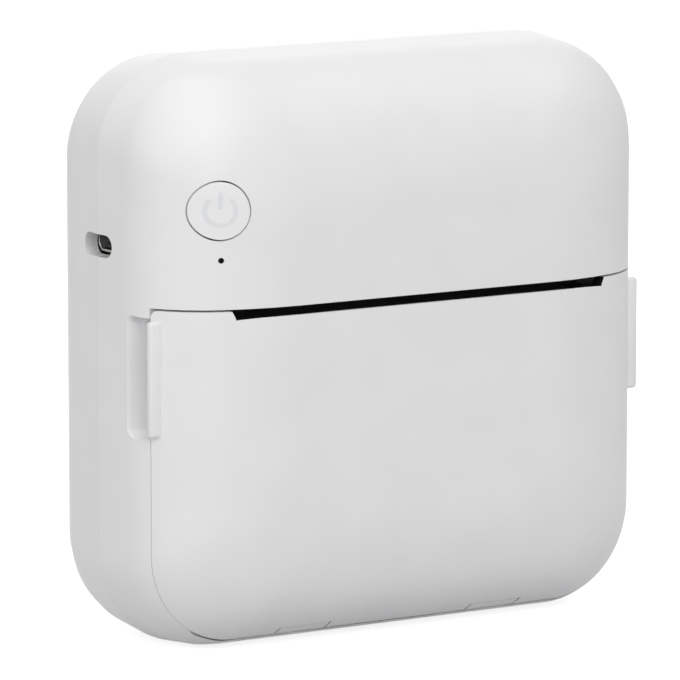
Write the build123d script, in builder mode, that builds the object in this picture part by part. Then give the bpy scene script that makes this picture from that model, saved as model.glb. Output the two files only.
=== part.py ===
"""A square pocket thermal printer that stands on edge, with a front cover hinged at the bottom.

Lengths are in millimetres. +X is the width, -Y the front and +Z up. The origin is the middle
of the foot it stands on. Most places below are given as (x, depth, z): x from the middle of
the width, depth back from the flat front face, and z up from the middle of the height.
"""

import os
from math import acos, atan2, cos, pi, radians, sin, sqrt, tan

from build123d import *

os.makedirs("parts", exist_ok=True)

# Outer form
WIDTH = 84.0
HEIGHT = 84.0
DEPTH = 39.5
FOOT_FLAT = 0.45
CORNER_RADIUS = 14.1
CORNER_SOFTENING = 0.3
CROWN_RADIUS = 33.0
CROWN_ANGLE = 20.0
EDGE_RADIUS = 13.7
FRONT_DRAFT = 5.4
REAR_RADIUS = 13.6
REAR_DRAFT = 4.5
PARTING_DEPTH = 19.9
HIDDEN_LINES = 5
SHELL_WALL = 2.0
COVER_WALL = 1.8

# Gaps and fits
SEAM_GAP = 0.3
PARTING_GAP = 0.12
RUNNING_FIT = 0.05
EASY_GAP = 0.3
ROOM = 0.5

# Front cover and paper slot
COVER_DEPTH = 8.64
COVER_CORNER = 0.7
SLOT_HEIGHT_ON_FACE = 8.2
SLOT_OPENING = 1.3
SLOT_HALF_WIDTH = 31.0
SLOT_END_SLANT = 0.5
SLOT_RIM = 0.5
SLOT_FALL = 14.0
SLOT_SHELF = 5.2
SHELF_THICKNESS = 1.5
LIP_REACH = 3.2
LOCATING_LIP = 1.6
LIP_GAP = 0.15
LIP_WALL = 0.9
LIP_ROOT = 1.2
TAB_LENGTH = 16.3
TAB_MIDDLE = -1.75
TAB_THICKNESS = 2.4
TAB_STANDS_OUT = 0.9
TAB_ROUNDING = 0.6
RECESS_LENGTH = 17.0
RECESS_REAR = 12.7
RECESS_INTO_SIDE = 39.0

# Cover hinge
HINGE_AXIS_Z = -38.2
KNUCKLE_RADIUS = 1.75
HINGE_PIN_RADIUS = 0.75
HINGE_MIDDLE = 16.0
BODY_KNUCKLE = 8.0
COVER_KNUCKLE = 5.5
RELIEF_TANGENTS = 4
RELIEF_STEP = 18.0

# Button, lamp and charging socket
BUTTON_X = -32.5
BUTTON_Z = 22.0
BUTTON_RADIUS = 4.0
BUTTON_RING_GAP = 0.22
BUTTON_DISH = 0.16
BUTTON_GUIDE_END = 8.6
BUTTON_FLANGE = 0.9
BUTTON_FLANGE_THICKNESS = 0.8
STEM_RADIUS = 1.5
STEM_LENGTH = 0.9
LAMP_Z = 15.1
LAMP_HOLE_RADIUS = 0.4
SOCKET_DEPTH = 20.2
SOCKET_Z = 15.8
SOCKET_OPENING = 7.6
SOCKET_OPENING_HEIGHT = 3.2
SOCKET_GAP = 0.15
SOCKET_LENGTH = 5.2

# Printing mechanism
PLATEN_DEPTH = 10.4
PLATEN_Z = 1.4
PLATEN_RADIUS = 5.0
PLATEN_SHAFT_RADIUS = 1.5
PLATEN_HALF_LENGTH = 28.9
BUSHING_RADIUS = 2.4
EAR_INNER = 29.4
EAR_THICKNESS = 1.2
FRAME_INNER = 31.0
FRAME_PLATE = 1.0
FRAME_FRONT = 9.0
NIP_LEAN = 8.0
NIP_GAP = 0.3
CERAMIC_THICKNESS = 0.7
CERAMIC_LENGTH = 7.0
HEATSINK_THICKNESS = 1.6
HEAD_HALF_WIDTH = 29.0
HEAD_AHEAD = 3.3
HEAD_BEHIND = 7.4
HEAD_ROD_RADIUS = 0.8
FRAME_TOP_Z = 12.4
FRAME_BAR_THICKNESS = 1.0

# Gears
MODULE = 0.5
PRESSURE_ANGLE = 20.0
BACKLASH = 0.12
PLATEN_TEETH = 16
IDLER_TEETH = 20
REDUCTION_SMALL_TEETH = 14
REDUCTION_BIG_TEETH = 28
PINION_TEETH = 12
INNER_GEARS = 32.5
INNER_GEAR_WIDTH = 1.6
OUTER_GEARS = 34.4
OUTER_GEAR_WIDTH = 1.4
REDUCTION_DIRECTION = -55.0
MOTOR_DIRECTION = 68.0
GEAR_POST_RADIUS = 0.7
MOTOR_RADIUS = 7.5
MOTOR_LENGTH = 17.0
MOTOR_SHAFT_RADIUS = 0.75

# Paper roll bay
BAY_DEPTH = 19.5
BAY_Z = -20.0
BAY_RADIUS = 16.2
BAY_WALL = 1.25
BAY_HALF_WIDTH = 29.25
BAY_OPEN_TO = 7.0
BAY_REAR_LIP_ANGLE = 54.0
BAY_TAB_X = 34.2
BAY_TAB_DEPTH = 18.0
BAY_TAB_Z = -22.0
BAY_TAB_THICKNESS = 1.4
BAY_TAB_HEIGHT = 4.6
BAY_TAB_MARGIN = 2.2
BAY_SCOOP_RADIUS = 6.5
BAY_END_WALL_TRIM = 1.2

# Boards and battery
BOARD_TOP_Z = 14.5
BOARD_THICKNESS = 1.2
BOARD_HALF_WIDTH = 37.0
BOARD_FRONT = 9.6
BOARD_REAR = 31.0
BOARD_CORNER = 1.0
RAIL_GRIP = 0.8
RAIL_GAP = 0.1
RAIL_THICKNESS = 1.1
RAIL_LENGTH = 5.0
BUTTON_BOARD_DEPTH = 14.6
BUTTON_BOARD_THICKNESS = 1.0
BATTERY_LENGTH = 50.0
BATTERY_WIDTH = 33.0
BATTERY_THICKNESS = 8.0
BATTERY_X = 3.5
BATTERY_FRONT = 3.9
TRAY_Z = 17.1
TRAY_THICKNESS = 1.0
TAPE_THICKNESS = 0.5
TAPE_MARGIN = 4.0
SHELF_FRONT = 22.0
BATTERY_ROUNDING = 1.6

# Screws, and the posts and brackets that they go into
CASE_BOSS_PLACE = 34.3
CASE_BOSS_RADIUS = 2.8
CASE_BOSS_FRONT = 10.0
CASE_SCREW_RADIUS = 1.0
CASE_SCREW_HEAD_RADIUS = 1.9
CASE_SCREW_HEAD_HEIGHT = 1.4
CASE_SCREW_SEAT = 24.0
CASE_SCREW_LENGTH = 10.0
SMALL_SCREW_RADIUS = 0.8
SMALL_SCREW_HEAD_RADIUS = 1.6
SMALL_SCREW_HEAD_HEIGHT = 1.0
SMALL_SCREW_LENGTH = 6.0
FRAME_TAB_X = 35.3
FRAME_TAB_Z = 10.2
FRAME_TAB_DEPTH = 12.0
FRAME_TAB_THICKNESS = 1.4
FRAME_POST_RADIUS = 2.0
BRACKET_LENGTH = 7.0
WELL_WALL = 1.3
GUIDE_WALL = 1.2

# Values worked out from the sizes above
MID_Z = HEIGHT / 2 - FOOT_FLAT
EAR_OUTER = EAR_INNER + EAR_THICKNESS
FRAME_OUTER = FRAME_INNER + FRAME_PLATE
COVER_TOP = SLOT_HEIGHT_ON_FACE - SEAM_GAP
SLOT_BOTTOM = SLOT_HEIGHT_ON_FACE - SLOT_OPENING
COVER_EDGE = COVER_DEPTH - SEAM_GAP / 2
BODY_EDGE = COVER_DEPTH + SEAM_GAP / 2
BOARD_BOTTOM_Z = BOARD_TOP_Z - BOARD_THICKNESS


# Planes and simple blocks
def facing(depth):
    """The plane parallel to the front face at a depth, seen from the front."""
    return Plane((0, depth - DEPTH / 2, MID_Z), x_dir=(1, 0, 0), z_dir=(0, -1, 0))


def side_on(x):
    """The plane across the width at x: its first axis is depth, its second is z."""
    return Plane((x, -DEPTH / 2, MID_Z), x_dir=(0, 1, 0), z_dir=(1, 0, 0))


def level(z):
    """The level plane at z: its first axis is x, its second is depth."""
    return Plane((0, -DEPTH / 2, MID_Z + z), x_dir=(1, 0, 0), z_dir=(0, 0, 1))


def spot(x, depth, z):
    """A point in the part's own frame."""
    return (x, depth - DEPTH / 2, MID_Z + z)


def block(x, depth, z, mode=Mode.ADD):
    """A rectangular block between a low and a high value along each axis."""
    middle = [(low + high) / 2 for low, high in (x, depth, z)]
    with Locations(spot(*middle)):
        Box(x[1] - x[0], depth[1] - depth[0], z[1] - z[0], mode=mode)


def cross_bar(x, depth, z, radius, mode=Mode.ADD):
    """A round bar along the width, from x[0] to x[1]."""
    with Locations(spot((x[0] + x[1]) / 2, depth, z)):
        Cylinder(radius, x[1] - x[0], rotation=(0, 90, 0), mode=mode)


def deep_bar(x, depth, z, radius, mode=Mode.ADD):
    """A round bar along the depth, from depth[0] to depth[1]."""
    with Locations(spot(x, (depth[0] + depth[1]) / 2, z)):
        Cylinder(radius, depth[1] - depth[0], rotation=(90, 0, 0), mode=mode)


def finish(builder, label):
    """Name a finished piece and write its file."""
    builder.part.label = label
    export_step(builder.part, f"parts/{label}.step")


def spread(start, end, steps):
    """Evenly spaced values from start to end."""
    return [start + (end - start) * step / steps for step in range(steps + 1)]


# Outer form: contours parallel to the front face, lofted
def front_profile(angle, wall=0.0):
    """How far out and how deep the front's rounded edge has come where it leans by angle."""
    lean = radians(angle)
    turn = radians(CROWN_ANGLE)
    if angle <= CROWN_ANGLE:
        return (CROWN_RADIUS - wall) * sin(lean), CROWN_RADIUS - (CROWN_RADIUS - wall) * cos(lean)
    out = (CROWN_RADIUS - EDGE_RADIUS) * sin(turn) + (EDGE_RADIUS - wall) * sin(lean)
    depth = CROWN_RADIUS - (CROWN_RADIUS - EDGE_RADIUS) * cos(turn) - (EDGE_RADIUS - wall) * cos(lean)
    return out, depth


def rear_profile(angle, wall=0.0):
    """The same for the rear's rounded edge, with depth from the front face."""
    lean = radians(angle)
    return (REAR_RADIUS - wall) * sin(lean), DEPTH - REAR_RADIUS + (REAR_RADIUS - wall) * cos(lean)


FRONT_REACH = (
    front_profile(90 - FRONT_DRAFT)[0]
    + (PARTING_DEPTH - front_profile(90 - FRONT_DRAFT)[1]) * tan(radians(FRONT_DRAFT))
)
REAR_REACH = (
    rear_profile(90 - REAR_DRAFT)[0]
    + (rear_profile(90 - REAR_DRAFT)[1] - PARTING_DEPTH) * tan(radians(REAR_DRAFT))
)


def contour(inset, corner, mode=Mode.ADD):
    """A rounded rectangle drawn in from the widest outline."""
    RectangleRounded(WIDTH - 2 * inset, HEIGHT - 2 * inset, corner, mode=mode)


def hidden_contour(inset, corner, mode=Mode.ADD):
    """The same for hidden inner faces, with each corner drawn by a few straight lines."""
    centre = WIDTH / 2 - inset - corner
    points = []
    for side_x, side_z, start in ((1, 1, 0), (-1, 1, 90), (-1, -1, 180), (1, -1, 270)):
        for angle in spread(start, start + 90, HIDDEN_LINES):
            points.append((side_x * centre + corner * cos(radians(angle)),
                           side_z * centre + corner * sin(radians(angle))))
    Polygon(*points, align=None, mode=mode)


def corner_at(inset, side_inset):
    """The corner radius of a contour: it shrinks with the drafted side, and more slowly round the edge."""
    return CORNER_RADIUS - min(inset, side_inset) - CORNER_SOFTENING * max(0.0, inset - side_inset)


def edge_contours(profile, reach, angles, wall):
    """(depth, inset, corner radius) of a rounded edge's contours, from the flat face outwards."""
    side_inset = reach - profile(angles[-1])[0]
    contours = []
    for angle in angles:
        out, depth = profile(angle, wall)
        corner = corner_at(reach - profile(angle)[0], side_inset) - wall * sin(radians(angle))
        contours.append((depth, reach - out, corner))
    return contours


def lofted(contours, draft, wall):
    """Ruled bands round an edge, the last of them carried on to the parting at the side's draft."""
    parting_inset = wall / cos(radians(draft))
    parting = (PARTING_DEPTH, parting_inset, contours[-1][2] + contours[-1][1] - parting_inset)
    draw_contour = hidden_contour if wall else contour
    with BuildPart() as form:
        for depth, inset, corner in [*contours, parting]:
            with BuildSketch(facing(depth)):
                draw_contour(inset, corner)
        loft(ruled=True)
    return form.part


def front_form(wall=0.0):
    """The front half, drawn in all round by a wall. Hidden inner faces need fewer bands."""
    crown_bands, edge_bands = (2, 3) if wall else (3, 6)
    angles = spread(0, CROWN_ANGLE, crown_bands) + spread(CROWN_ANGLE, 90 - FRONT_DRAFT, edge_bands)[1:]
    return lofted(edge_contours(front_profile, FRONT_REACH, angles, wall), FRONT_DRAFT, wall)


def rear_form(wall=0.0):
    """The rear half, drawn in all round by a wall."""
    angles = spread(0, 90 - REAR_DRAFT, 4 if wall else 7)
    return lofted(edge_contours(rear_profile, REAR_REACH, angles, wall), REAR_DRAFT, wall)


FRONT_SIDE_INSET = FRONT_REACH - front_profile(90 - FRONT_DRAFT)[0]
front_outside = front_form()
rear_outside = rear_form()
foot_level = -HEIGHT / 2 + FOOT_FLAT


def side_surface(depth):
    """How far out the side's surface is at a depth, on the front half."""
    arc_end = front_profile(90 - FRONT_DRAFT)[1]
    if depth >= arc_end:
        return WIDTH / 2 - (PARTING_DEPTH - depth) * tan(radians(FRONT_DRAFT))
    turn = radians(CROWN_ANGLE)
    lean = acos((CROWN_RADIUS - (CROWN_RADIUS - EDGE_RADIUS) * cos(turn) - depth) / EDGE_RADIUS)
    out = (CROWN_RADIUS - EDGE_RADIUS) * sin(turn) + EDGE_RADIUS * sin(lean)
    return WIDTH / 2 - FRONT_REACH + out


def face_depth(x):
    """The depth of the front's surface at a distance x from the middle, level with it."""
    out = abs(x) - (WIDTH / 2 - FRONT_REACH)
    crown_end = CROWN_RADIUS * sin(radians(CROWN_ANGLE))
    if out <= 0:
        return 0.0
    if out <= crown_end:
        return CROWN_RADIUS - sqrt(CROWN_RADIUS**2 - out**2)
    turn = radians(CROWN_ANGLE)
    beyond = out - (CROWN_RADIUS - EDGE_RADIUS) * sin(turn)
    return CROWN_RADIUS - (CROWN_RADIUS - EDGE_RADIUS) * cos(turn) - sqrt(EDGE_RADIUS**2 - beyond**2)


# Places that several pieces share
case_boss_places = [(sx * CASE_BOSS_PLACE, sz * CASE_BOSS_PLACE) for sx in (-1, 1) for sz in (-1, 1)]
far = WIDTH
recess_z = (TAB_MIDDLE - RECESS_LENGTH / 2, TAB_MIDDLE + RECESS_LENGTH / 2)
button_guide_radius = BUTTON_RADIUS + BUTTON_RING_GAP
hinge_cut_radius = KNUCKLE_RADIUS + EASY_GAP
body_knuckle = (HINGE_MIDDLE - BODY_KNUCKLE / 2, HINGE_MIDDLE + BODY_KNUCKLE / 2)
cover_knuckles = (
    (body_knuckle[0] - SEAM_GAP - COVER_KNUCKLE, body_knuckle[0] - SEAM_GAP),
    (body_knuckle[1] + SEAM_GAP, body_knuckle[1] + SEAM_GAP + COVER_KNUCKLE),
)


def mirrored(pair, side):
    """A range of x on the left (side -1) or the right (side 1)."""
    return tuple(sorted((side * pair[0], side * pair[1])))


def relief_outline():
    """The seam's outline below the hinge axis, EASY_GAP larger, its corner drawn by a few tangents."""
    seam_inset = WIDTH / 2 - side_surface(COVER_DEPTH)
    corner = corner_at(seam_inset, FRONT_SIDE_INSET)
    centre = WIDTH / 2 - seam_inset - corner
    right = []
    for tangent in range(RELIEF_TANGENTS):
        lean = radians(RELIEF_STEP * (tangent + 0.5))
        reach = (corner + EASY_GAP) / cos(radians(RELIEF_STEP / 2))
        right.append((centre + reach * sin(lean), -centre - reach * cos(lean)))
    below = [point for point in right if point[1] < HINGE_AXIS_Z]
    above = right[len(below)]
    share = (HINGE_AXIS_Z - below[-1][1]) / (above[1] - below[-1][1])
    below.append((below[-1][0] + share * (above[0] - below[-1][0]), HINGE_AXIS_Z))
    return below + [(-x, z) for x, z in reversed(below)]


# Main housing: the upper front, the sides and the bottom edge, in one moulding
with BuildPart() as main_housing:
    add(front_outside)
    add(front_form(SHELL_WALL), mode=Mode.SUBTRACT)
    # the opening that the front cover fills
    block((-far, far), (-1, BODY_EDGE), (-far, SLOT_HEIGHT_ON_FACE), mode=Mode.SUBTRACT)
    # a shelf closes the upper front above the paper slot
    with BuildPart(mode=Mode.PRIVATE) as shelf:
        add(front_outside)
        shelf_z = (SLOT_HEIGHT_ON_FACE, SLOT_HEIGHT_ON_FACE + SHELF_THICKNESS)
        block((-far, far), (-1, BODY_EDGE), shelf_z, mode=Mode.INTERSECT)
        mechanism_window = (-FRAME_OUTER - ROOM, FRAME_OUTER + ROOM)
        block(mechanism_window, (SLOT_SHELF, BODY_EDGE), shelf_z, mode=Mode.SUBTRACT)
    add(shelf.part)
    # screw bosses in the four corners, and the guide round the button
    with BuildPart(mode=Mode.PRIVATE) as inner_posts:
        for x, z in case_boss_places:
            deep_bar(x, (CASE_BOSS_FRONT, PARTING_DEPTH), z, CASE_BOSS_RADIUS)
        deep_bar(BUTTON_X, (-1, BUTTON_GUIDE_END), BUTTON_Z, button_guide_radius + GUIDE_WALL)
        for side in (-1, 1):
            deep_bar(side * FRAME_TAB_X, (-1, FRAME_TAB_DEPTH), FRAME_TAB_Z, FRAME_POST_RADIUS)
            # the wall behind each finger recess
            recess_wall_x = mirrored((RECESS_INTO_SIDE - SHELL_WALL, far), side)
            wall_z = (recess_z[0] - SHELL_WALL, recess_z[1] + EASY_GAP)
            block(recess_wall_x, (BODY_EDGE, RECESS_REAR + 1.4), wall_z)
            # brackets that carry the roll bay
            bracket_z = (BAY_TAB_Z - BAY_TAB_HEIGHT / 2, BAY_TAB_Z + BAY_TAB_HEIGHT / 2)
            bracket_x = mirrored((BAY_TAB_X - BAY_TAB_MARGIN, far), side)
            block(bracket_x, (BAY_TAB_DEPTH - BRACKET_LENGTH, BAY_TAB_DEPTH), bracket_z)
            # rails that hold the main board
            rail_x = mirrored((BOARD_HALF_WIDTH - RAIL_GRIP, far), side)
            for rail_z in (BOARD_BOTTOM_Z - RAIL_GAP - RAIL_THICKNESS, BOARD_TOP_Z + RAIL_GAP):
                block(rail_x, (BOARD_FRONT, BOARD_FRONT + RAIL_LENGTH), (rail_z, rail_z + RAIL_THICKNESS))
        add(front_outside, mode=Mode.INTERSECT)
    add(inner_posts.part)
    # bottom edge: room for the cover's edge to swing, then the body's hinge knuckles
    with BuildSketch(facing(COVER_DEPTH)):
        with BuildLine():
            Polyline(*relief_outline(), close=True)
        make_face()
    revolve(axis=Axis(spot(0, COVER_DEPTH, HINGE_AXIS_Z), (1, 0, 0)), mode=Mode.SUBTRACT)
    with BuildPart(mode=Mode.PRIVATE) as knuckle_webs:
        for side in (-1, 1):
            knuckle_x = mirrored(body_knuckle, side)
            cross_bar(knuckle_x, COVER_DEPTH, HINGE_AXIS_Z, KNUCKLE_RADIUS)
            web_z = (HINGE_AXIS_Z - KNUCKLE_RADIUS, HINGE_AXIS_Z + 0.6)
            block(knuckle_x, (COVER_DEPTH, COVER_DEPTH + 3.6), web_z)
        add(front_outside, mode=Mode.INTERSECT)
    add(knuckle_webs.part)
    for side in (-1, 1):
        pin_hole_x = mirrored(body_knuckle, side)
        cross_bar(pin_hole_x, COVER_DEPTH, HINGE_AXIS_Z, HINGE_PIN_RADIUS + RUNNING_FIT, mode=Mode.SUBTRACT)
        # finger recess beside the cover's pull tab
        with BuildSketch(side_on(side * RECESS_INTO_SIDE)):
            with Locations(((BODY_EDGE + RECESS_REAR) / 2 - 1.0, TAB_MIDDLE)):
                RectangleRounded(RECESS_REAR - BODY_EDGE + 2.0, RECESS_LENGTH, 1.2)
        extrude(amount=side * 5.0, mode=Mode.SUBTRACT)
        deep_bar(side * FRAME_TAB_X, (FRAME_TAB_DEPTH - 5, FRAME_TAB_DEPTH + 1), FRAME_TAB_Z,
                 SMALL_SCREW_RADIUS, mode=Mode.SUBTRACT)
        deep_bar(side * BAY_TAB_X, (BAY_TAB_DEPTH - 5, BAY_TAB_DEPTH + 1), BAY_TAB_Z,
                 SMALL_SCREW_RADIUS, mode=Mode.SUBTRACT)
    for x, z in case_boss_places:
        screw_span = (CASE_SCREW_SEAT - CASE_SCREW_LENGTH, PARTING_DEPTH + 1)
        deep_bar(x, screw_span, z, CASE_SCREW_RADIUS, mode=Mode.SUBTRACT)
    # holes for the button, the lamp and the charging socket
    deep_bar(BUTTON_X, (-1, BUTTON_GUIDE_END + 1), BUTTON_Z, button_guide_radius, mode=Mode.SUBTRACT)
    deep_bar(BUTTON_X, (-1, BOARD_FRONT), LAMP_Z, LAMP_HOLE_RADIUS, mode=Mode.SUBTRACT)
    with BuildSketch(side_on(-WIDTH / 2 - 1)):
        with Locations((SOCKET_DEPTH, SOCKET_Z)):
            SlotOverall(SOCKET_OPENING, SOCKET_OPENING_HEIGHT)
    extrude(amount=6.0, mode=Mode.SUBTRACT)
    # the flat that it stands on, the pocket of the tear bar, and the parting gap
    block((-far, far), (-1, DEPTH), (-far, foot_level), mode=Mode.SUBTRACT)
    tear_pocket_z = (SLOT_HEIGHT_ON_FACE - 1, SLOT_HEIGHT_ON_FACE + 0.45)
    block((-30.0, 30.0), (1.6, SLOT_SHELF + 1), tear_pocket_z, mode=Mode.SUBTRACT)
    block((-far, far), (PARTING_DEPTH - PARTING_GAP, DEPTH), (-far, far), mode=Mode.SUBTRACT)
finish(main_housing, "main_housing")

# Rear shell: a deep tray with four screw wells, a locating lip and the battery's shelf
with BuildPart() as rear_shell:
    add(rear_outside)
    add(rear_form(SHELL_WALL), mode=Mode.SUBTRACT)
    with BuildPart(mode=Mode.PRIVATE) as wells:
        for x, z in case_boss_places:
            deep_bar(x, (PARTING_DEPTH, DEPTH), z, CASE_SCREW_HEAD_RADIUS + EASY_GAP + WELL_WALL)
        shelf_x = (BATTERY_X - BATTERY_LENGTH / 2, BATTERY_X + BATTERY_LENGTH / 2)
        block(shelf_x, (SHELF_FRONT, DEPTH), (TRAY_Z, TRAY_Z + TRAY_THICKNESS))
        for rib_x in (shelf_x[0] + 6, BATTERY_X, shelf_x[1] - 6):
            block((rib_x - 0.6, rib_x + 0.6), (DEPTH - 6.0, DEPTH), (TRAY_Z - 2.0, TRAY_Z))
        add(rear_outside, mode=Mode.INTERSECT)
    add(wells.part)
    # the locating lip stands inside the main housing, on a step in this shell's wall
    lip_inset = SHELL_WALL + LOCATING_LIP * tan(radians(FRONT_DRAFT)) + LIP_GAP
    for inset, start in ((lip_inset, PARTING_DEPTH - LOCATING_LIP), (SHELL_WALL / 2, PARTING_DEPTH)):
        with BuildSketch(facing(start)):
            hidden_contour(inset, CORNER_RADIUS - inset)
            hidden_contour(lip_inset + LIP_WALL, CORNER_RADIUS - lip_inset - LIP_WALL, mode=Mode.SUBTRACT)
        extrude(amount=start - PARTING_DEPTH - LIP_ROOT)
    for x, z in case_boss_places:
        seat = CASE_BOSS_RADIUS + EASY_GAP
        deep_bar(x, (0, PARTING_DEPTH), z, seat, mode=Mode.SUBTRACT)
        deep_bar(x, (CASE_SCREW_SEAT, DEPTH + 1), z, CASE_SCREW_HEAD_RADIUS + EASY_GAP, mode=Mode.SUBTRACT)
        deep_bar(x, (0, DEPTH), z, CASE_SCREW_RADIUS + 0.15, mode=Mode.SUBTRACT)
    with BuildSketch(side_on(-WIDTH / 2 - 1)):
        with Locations((SOCKET_DEPTH, SOCKET_Z)):
            SlotOverall(SOCKET_OPENING, SOCKET_OPENING_HEIGHT)
    extrude(amount=6.0, mode=Mode.SUBTRACT)
    block((-far, far), (0, DEPTH), (-far, foot_level), mode=Mode.SUBTRACT)
    for side in (-1, 1):
        # the lip is cut away where the board, the gears and the bay's brackets pass it
        block(mirrored((30.0, far), side), (0, PARTING_DEPTH), (BAY_TAB_Z - 4, 19.0), mode=Mode.SUBTRACT)
finish(rear_shell, "rear_shell")

# Front cover: a shallow tray with its top lip, pull tabs, hinge knuckles and platen ears
with BuildPart() as front_cover:
    add(front_outside)
    add(front_form(COVER_WALL), mode=Mode.SUBTRACT)
    with BuildPart(mode=Mode.PRIVATE) as top_lip:
        add(front_outside)
        lip_z = (COVER_TOP - 1.7, COVER_TOP)
        block((-far, far), (-1, COVER_DEPTH), lip_z, mode=Mode.INTERSECT)
        block((-EAR_OUTER - ROOM, EAR_OUTER + ROOM), (LIP_REACH + ROOM, COVER_DEPTH), lip_z,
              mode=Mode.SUBTRACT)
    add(top_lip.part)
    with BuildPart(mode=Mode.PRIVATE) as lip_floor:
        add(front_outside)
        block((-SLOT_HALF_WIDTH - 1, SLOT_HALF_WIDTH + 1), (-1, LIP_REACH), (SLOT_BOTTOM - 1.5, SLOT_BOTTOM),
              mode=Mode.INTERSECT)
    add(lip_floor.part)
    # everything above its top edge and behind its seam goes, with the top corners rounded
    block((-far, far), (-1, DEPTH), (COVER_TOP, far), mode=Mode.SUBTRACT)
    block((-far, far), (COVER_EDGE, DEPTH), (-far, far), mode=Mode.SUBTRACT)
    for side in (-1, 1):
        with BuildSketch(side_on(side * (WIDTH / 2 + 1))):
            with BuildLine():
                corner_start = (COVER_EDGE - COVER_CORNER, COVER_TOP)
                corner_end = (COVER_EDGE, COVER_TOP - COVER_CORNER)
                RadiusArc(corner_start, corner_end, COVER_CORNER)
                Polyline(corner_end, (COVER_EDGE, COVER_TOP), corner_start)
            make_face()
        extrude(amount=-side * 5.0, mode=Mode.SUBTRACT)
    # the slot: slanted ends, and a lower edge that falls away behind its rim
    with BuildSketch(facing(-1)):
        with BuildLine():
            Polyline(
                (-SLOT_HALF_WIDTH, COVER_TOP + 1),
                (-SLOT_HALF_WIDTH, COVER_TOP),
                (-SLOT_HALF_WIDTH + SLOT_END_SLANT, SLOT_BOTTOM),
                (SLOT_HALF_WIDTH - SLOT_END_SLANT, SLOT_BOTTOM),
                (SLOT_HALF_WIDTH, COVER_TOP),
                (SLOT_HALF_WIDTH, COVER_TOP + 1),
                close=True,
            )
        make_face()
    extrude(amount=-LIP_REACH - 2.0, mode=Mode.SUBTRACT)
    with BuildSketch(side_on(-SLOT_HALF_WIDTH + SLOT_END_SLANT)):
        with BuildLine():
            Polyline(
                (SLOT_RIM, SLOT_BOTTOM),
                (LIP_REACH + 1, SLOT_BOTTOM - (LIP_REACH + 1 - SLOT_RIM) * tan(radians(SLOT_FALL))),
                (LIP_REACH + 1, SLOT_BOTTOM),
                close=True,
            )
        make_face()
    extrude(amount=2 * (SLOT_HALF_WIDTH - SLOT_END_SLANT), mode=Mode.SUBTRACT)
    # bottom edge: room for the body's knuckles, then the cover's own
    for side in (-1, 1):
        notch_x = (body_knuckle[0] - SEAM_GAP, body_knuckle[1] + SEAM_GAP)
        cross_bar(mirrored(notch_x, side), COVER_DEPTH, HINGE_AXIS_Z, hinge_cut_radius, mode=Mode.SUBTRACT)
    with BuildPart(mode=Mode.PRIVATE) as cover_hinge:
        for side in (-1, 1):
            for span in cover_knuckles:
                knuckle_x = mirrored(span, side)
                cross_bar(knuckle_x, COVER_DEPTH, HINGE_AXIS_Z, KNUCKLE_RADIUS)
                web_z = (HINGE_AXIS_Z - KNUCKLE_RADIUS, HINGE_AXIS_Z + 0.8)
                block(knuckle_x, (COVER_DEPTH - 3.2, COVER_DEPTH), web_z)
        add(front_outside, mode=Mode.INTERSECT)
    add(cover_hinge.part)
    for side in (-1, 1):
        for span in cover_knuckles:
            cross_bar(mirrored(span, side), COVER_DEPTH, HINGE_AXIS_Z, HINGE_PIN_RADIUS, mode=Mode.SUBTRACT)
        # pull tab: a rib down the seam that overhangs the finger recess
        tab_outer = side_surface(COVER_DEPTH) + TAB_STANDS_OUT
        with BuildPart(mode=Mode.PRIVATE) as tab:
            block(mirrored((RECESS_INTO_SIDE - 1.6, tab_outer), side),
                  (COVER_EDGE - TAB_THICKNESS, COVER_EDGE),
                  (TAB_MIDDLE - TAB_LENGTH / 2, TAB_MIDDLE + TAB_LENGTH / 2))
            outer_face = tab.faces().filter_by(Axis.X).sort_by(Axis.X)[-1 if side > 0 else 0]
            fillet(outer_face.edges(), radius=TAB_ROUNDING)
        add(tab.part)
    # ears that carry the platen, joined to the front wall
    with BuildPart(mode=Mode.PRIVATE) as ears:
        ear_radius = BUSHING_RADIUS + 1.5
        for side in (-1, 1):
            with BuildSketch(side_on(side * EAR_INNER)):
                with BuildLine():
                    Polyline(
                        (0.0, PLATEN_Z - 9.4),
                        (4.0, PLATEN_Z - 9.4),
                        (PLATEN_DEPTH, PLATEN_Z - ear_radius),
                        (PLATEN_DEPTH, PLATEN_Z + ear_radius),
                        (0.0, PLATEN_Z + ear_radius),
                        close=True,
                    )
                make_face()
                with Locations((PLATEN_DEPTH, PLATEN_Z)):
                    Circle(ear_radius)
            extrude(amount=side * EAR_THICKNESS)
        add(front_outside, mode=Mode.INTERSECT)
    add(ears.part)
    ear_hole_x = (-EAR_OUTER - 1, EAR_OUTER + 1)
    cross_bar(ear_hole_x, PLATEN_DEPTH, PLATEN_Z, BUSHING_RADIUS, mode=Mode.SUBTRACT)
    # stiffening ribs inside the front wall
    for rib_z in (-9.0, -30.0):
        with BuildPart(mode=Mode.PRIVATE) as rib:
            add(front_outside)
            block((-28.0, 28.0), (-1, COVER_WALL + 0.9), (rib_z - 0.5, rib_z + 0.5), mode=Mode.INTERSECT)
        add(rib.part)
finish(front_cover, "front_cover")

with BuildPart() as hinge_pins:
    for side in (-1, 1):
        pin_x = mirrored((cover_knuckles[0][0] + 0.3, cover_knuckles[1][1] - 0.3), side)
        cross_bar(pin_x, COVER_DEPTH, HINGE_AXIS_Z, HINGE_PIN_RADIUS)
finish(hinge_pins, "hinge_pins")

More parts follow.
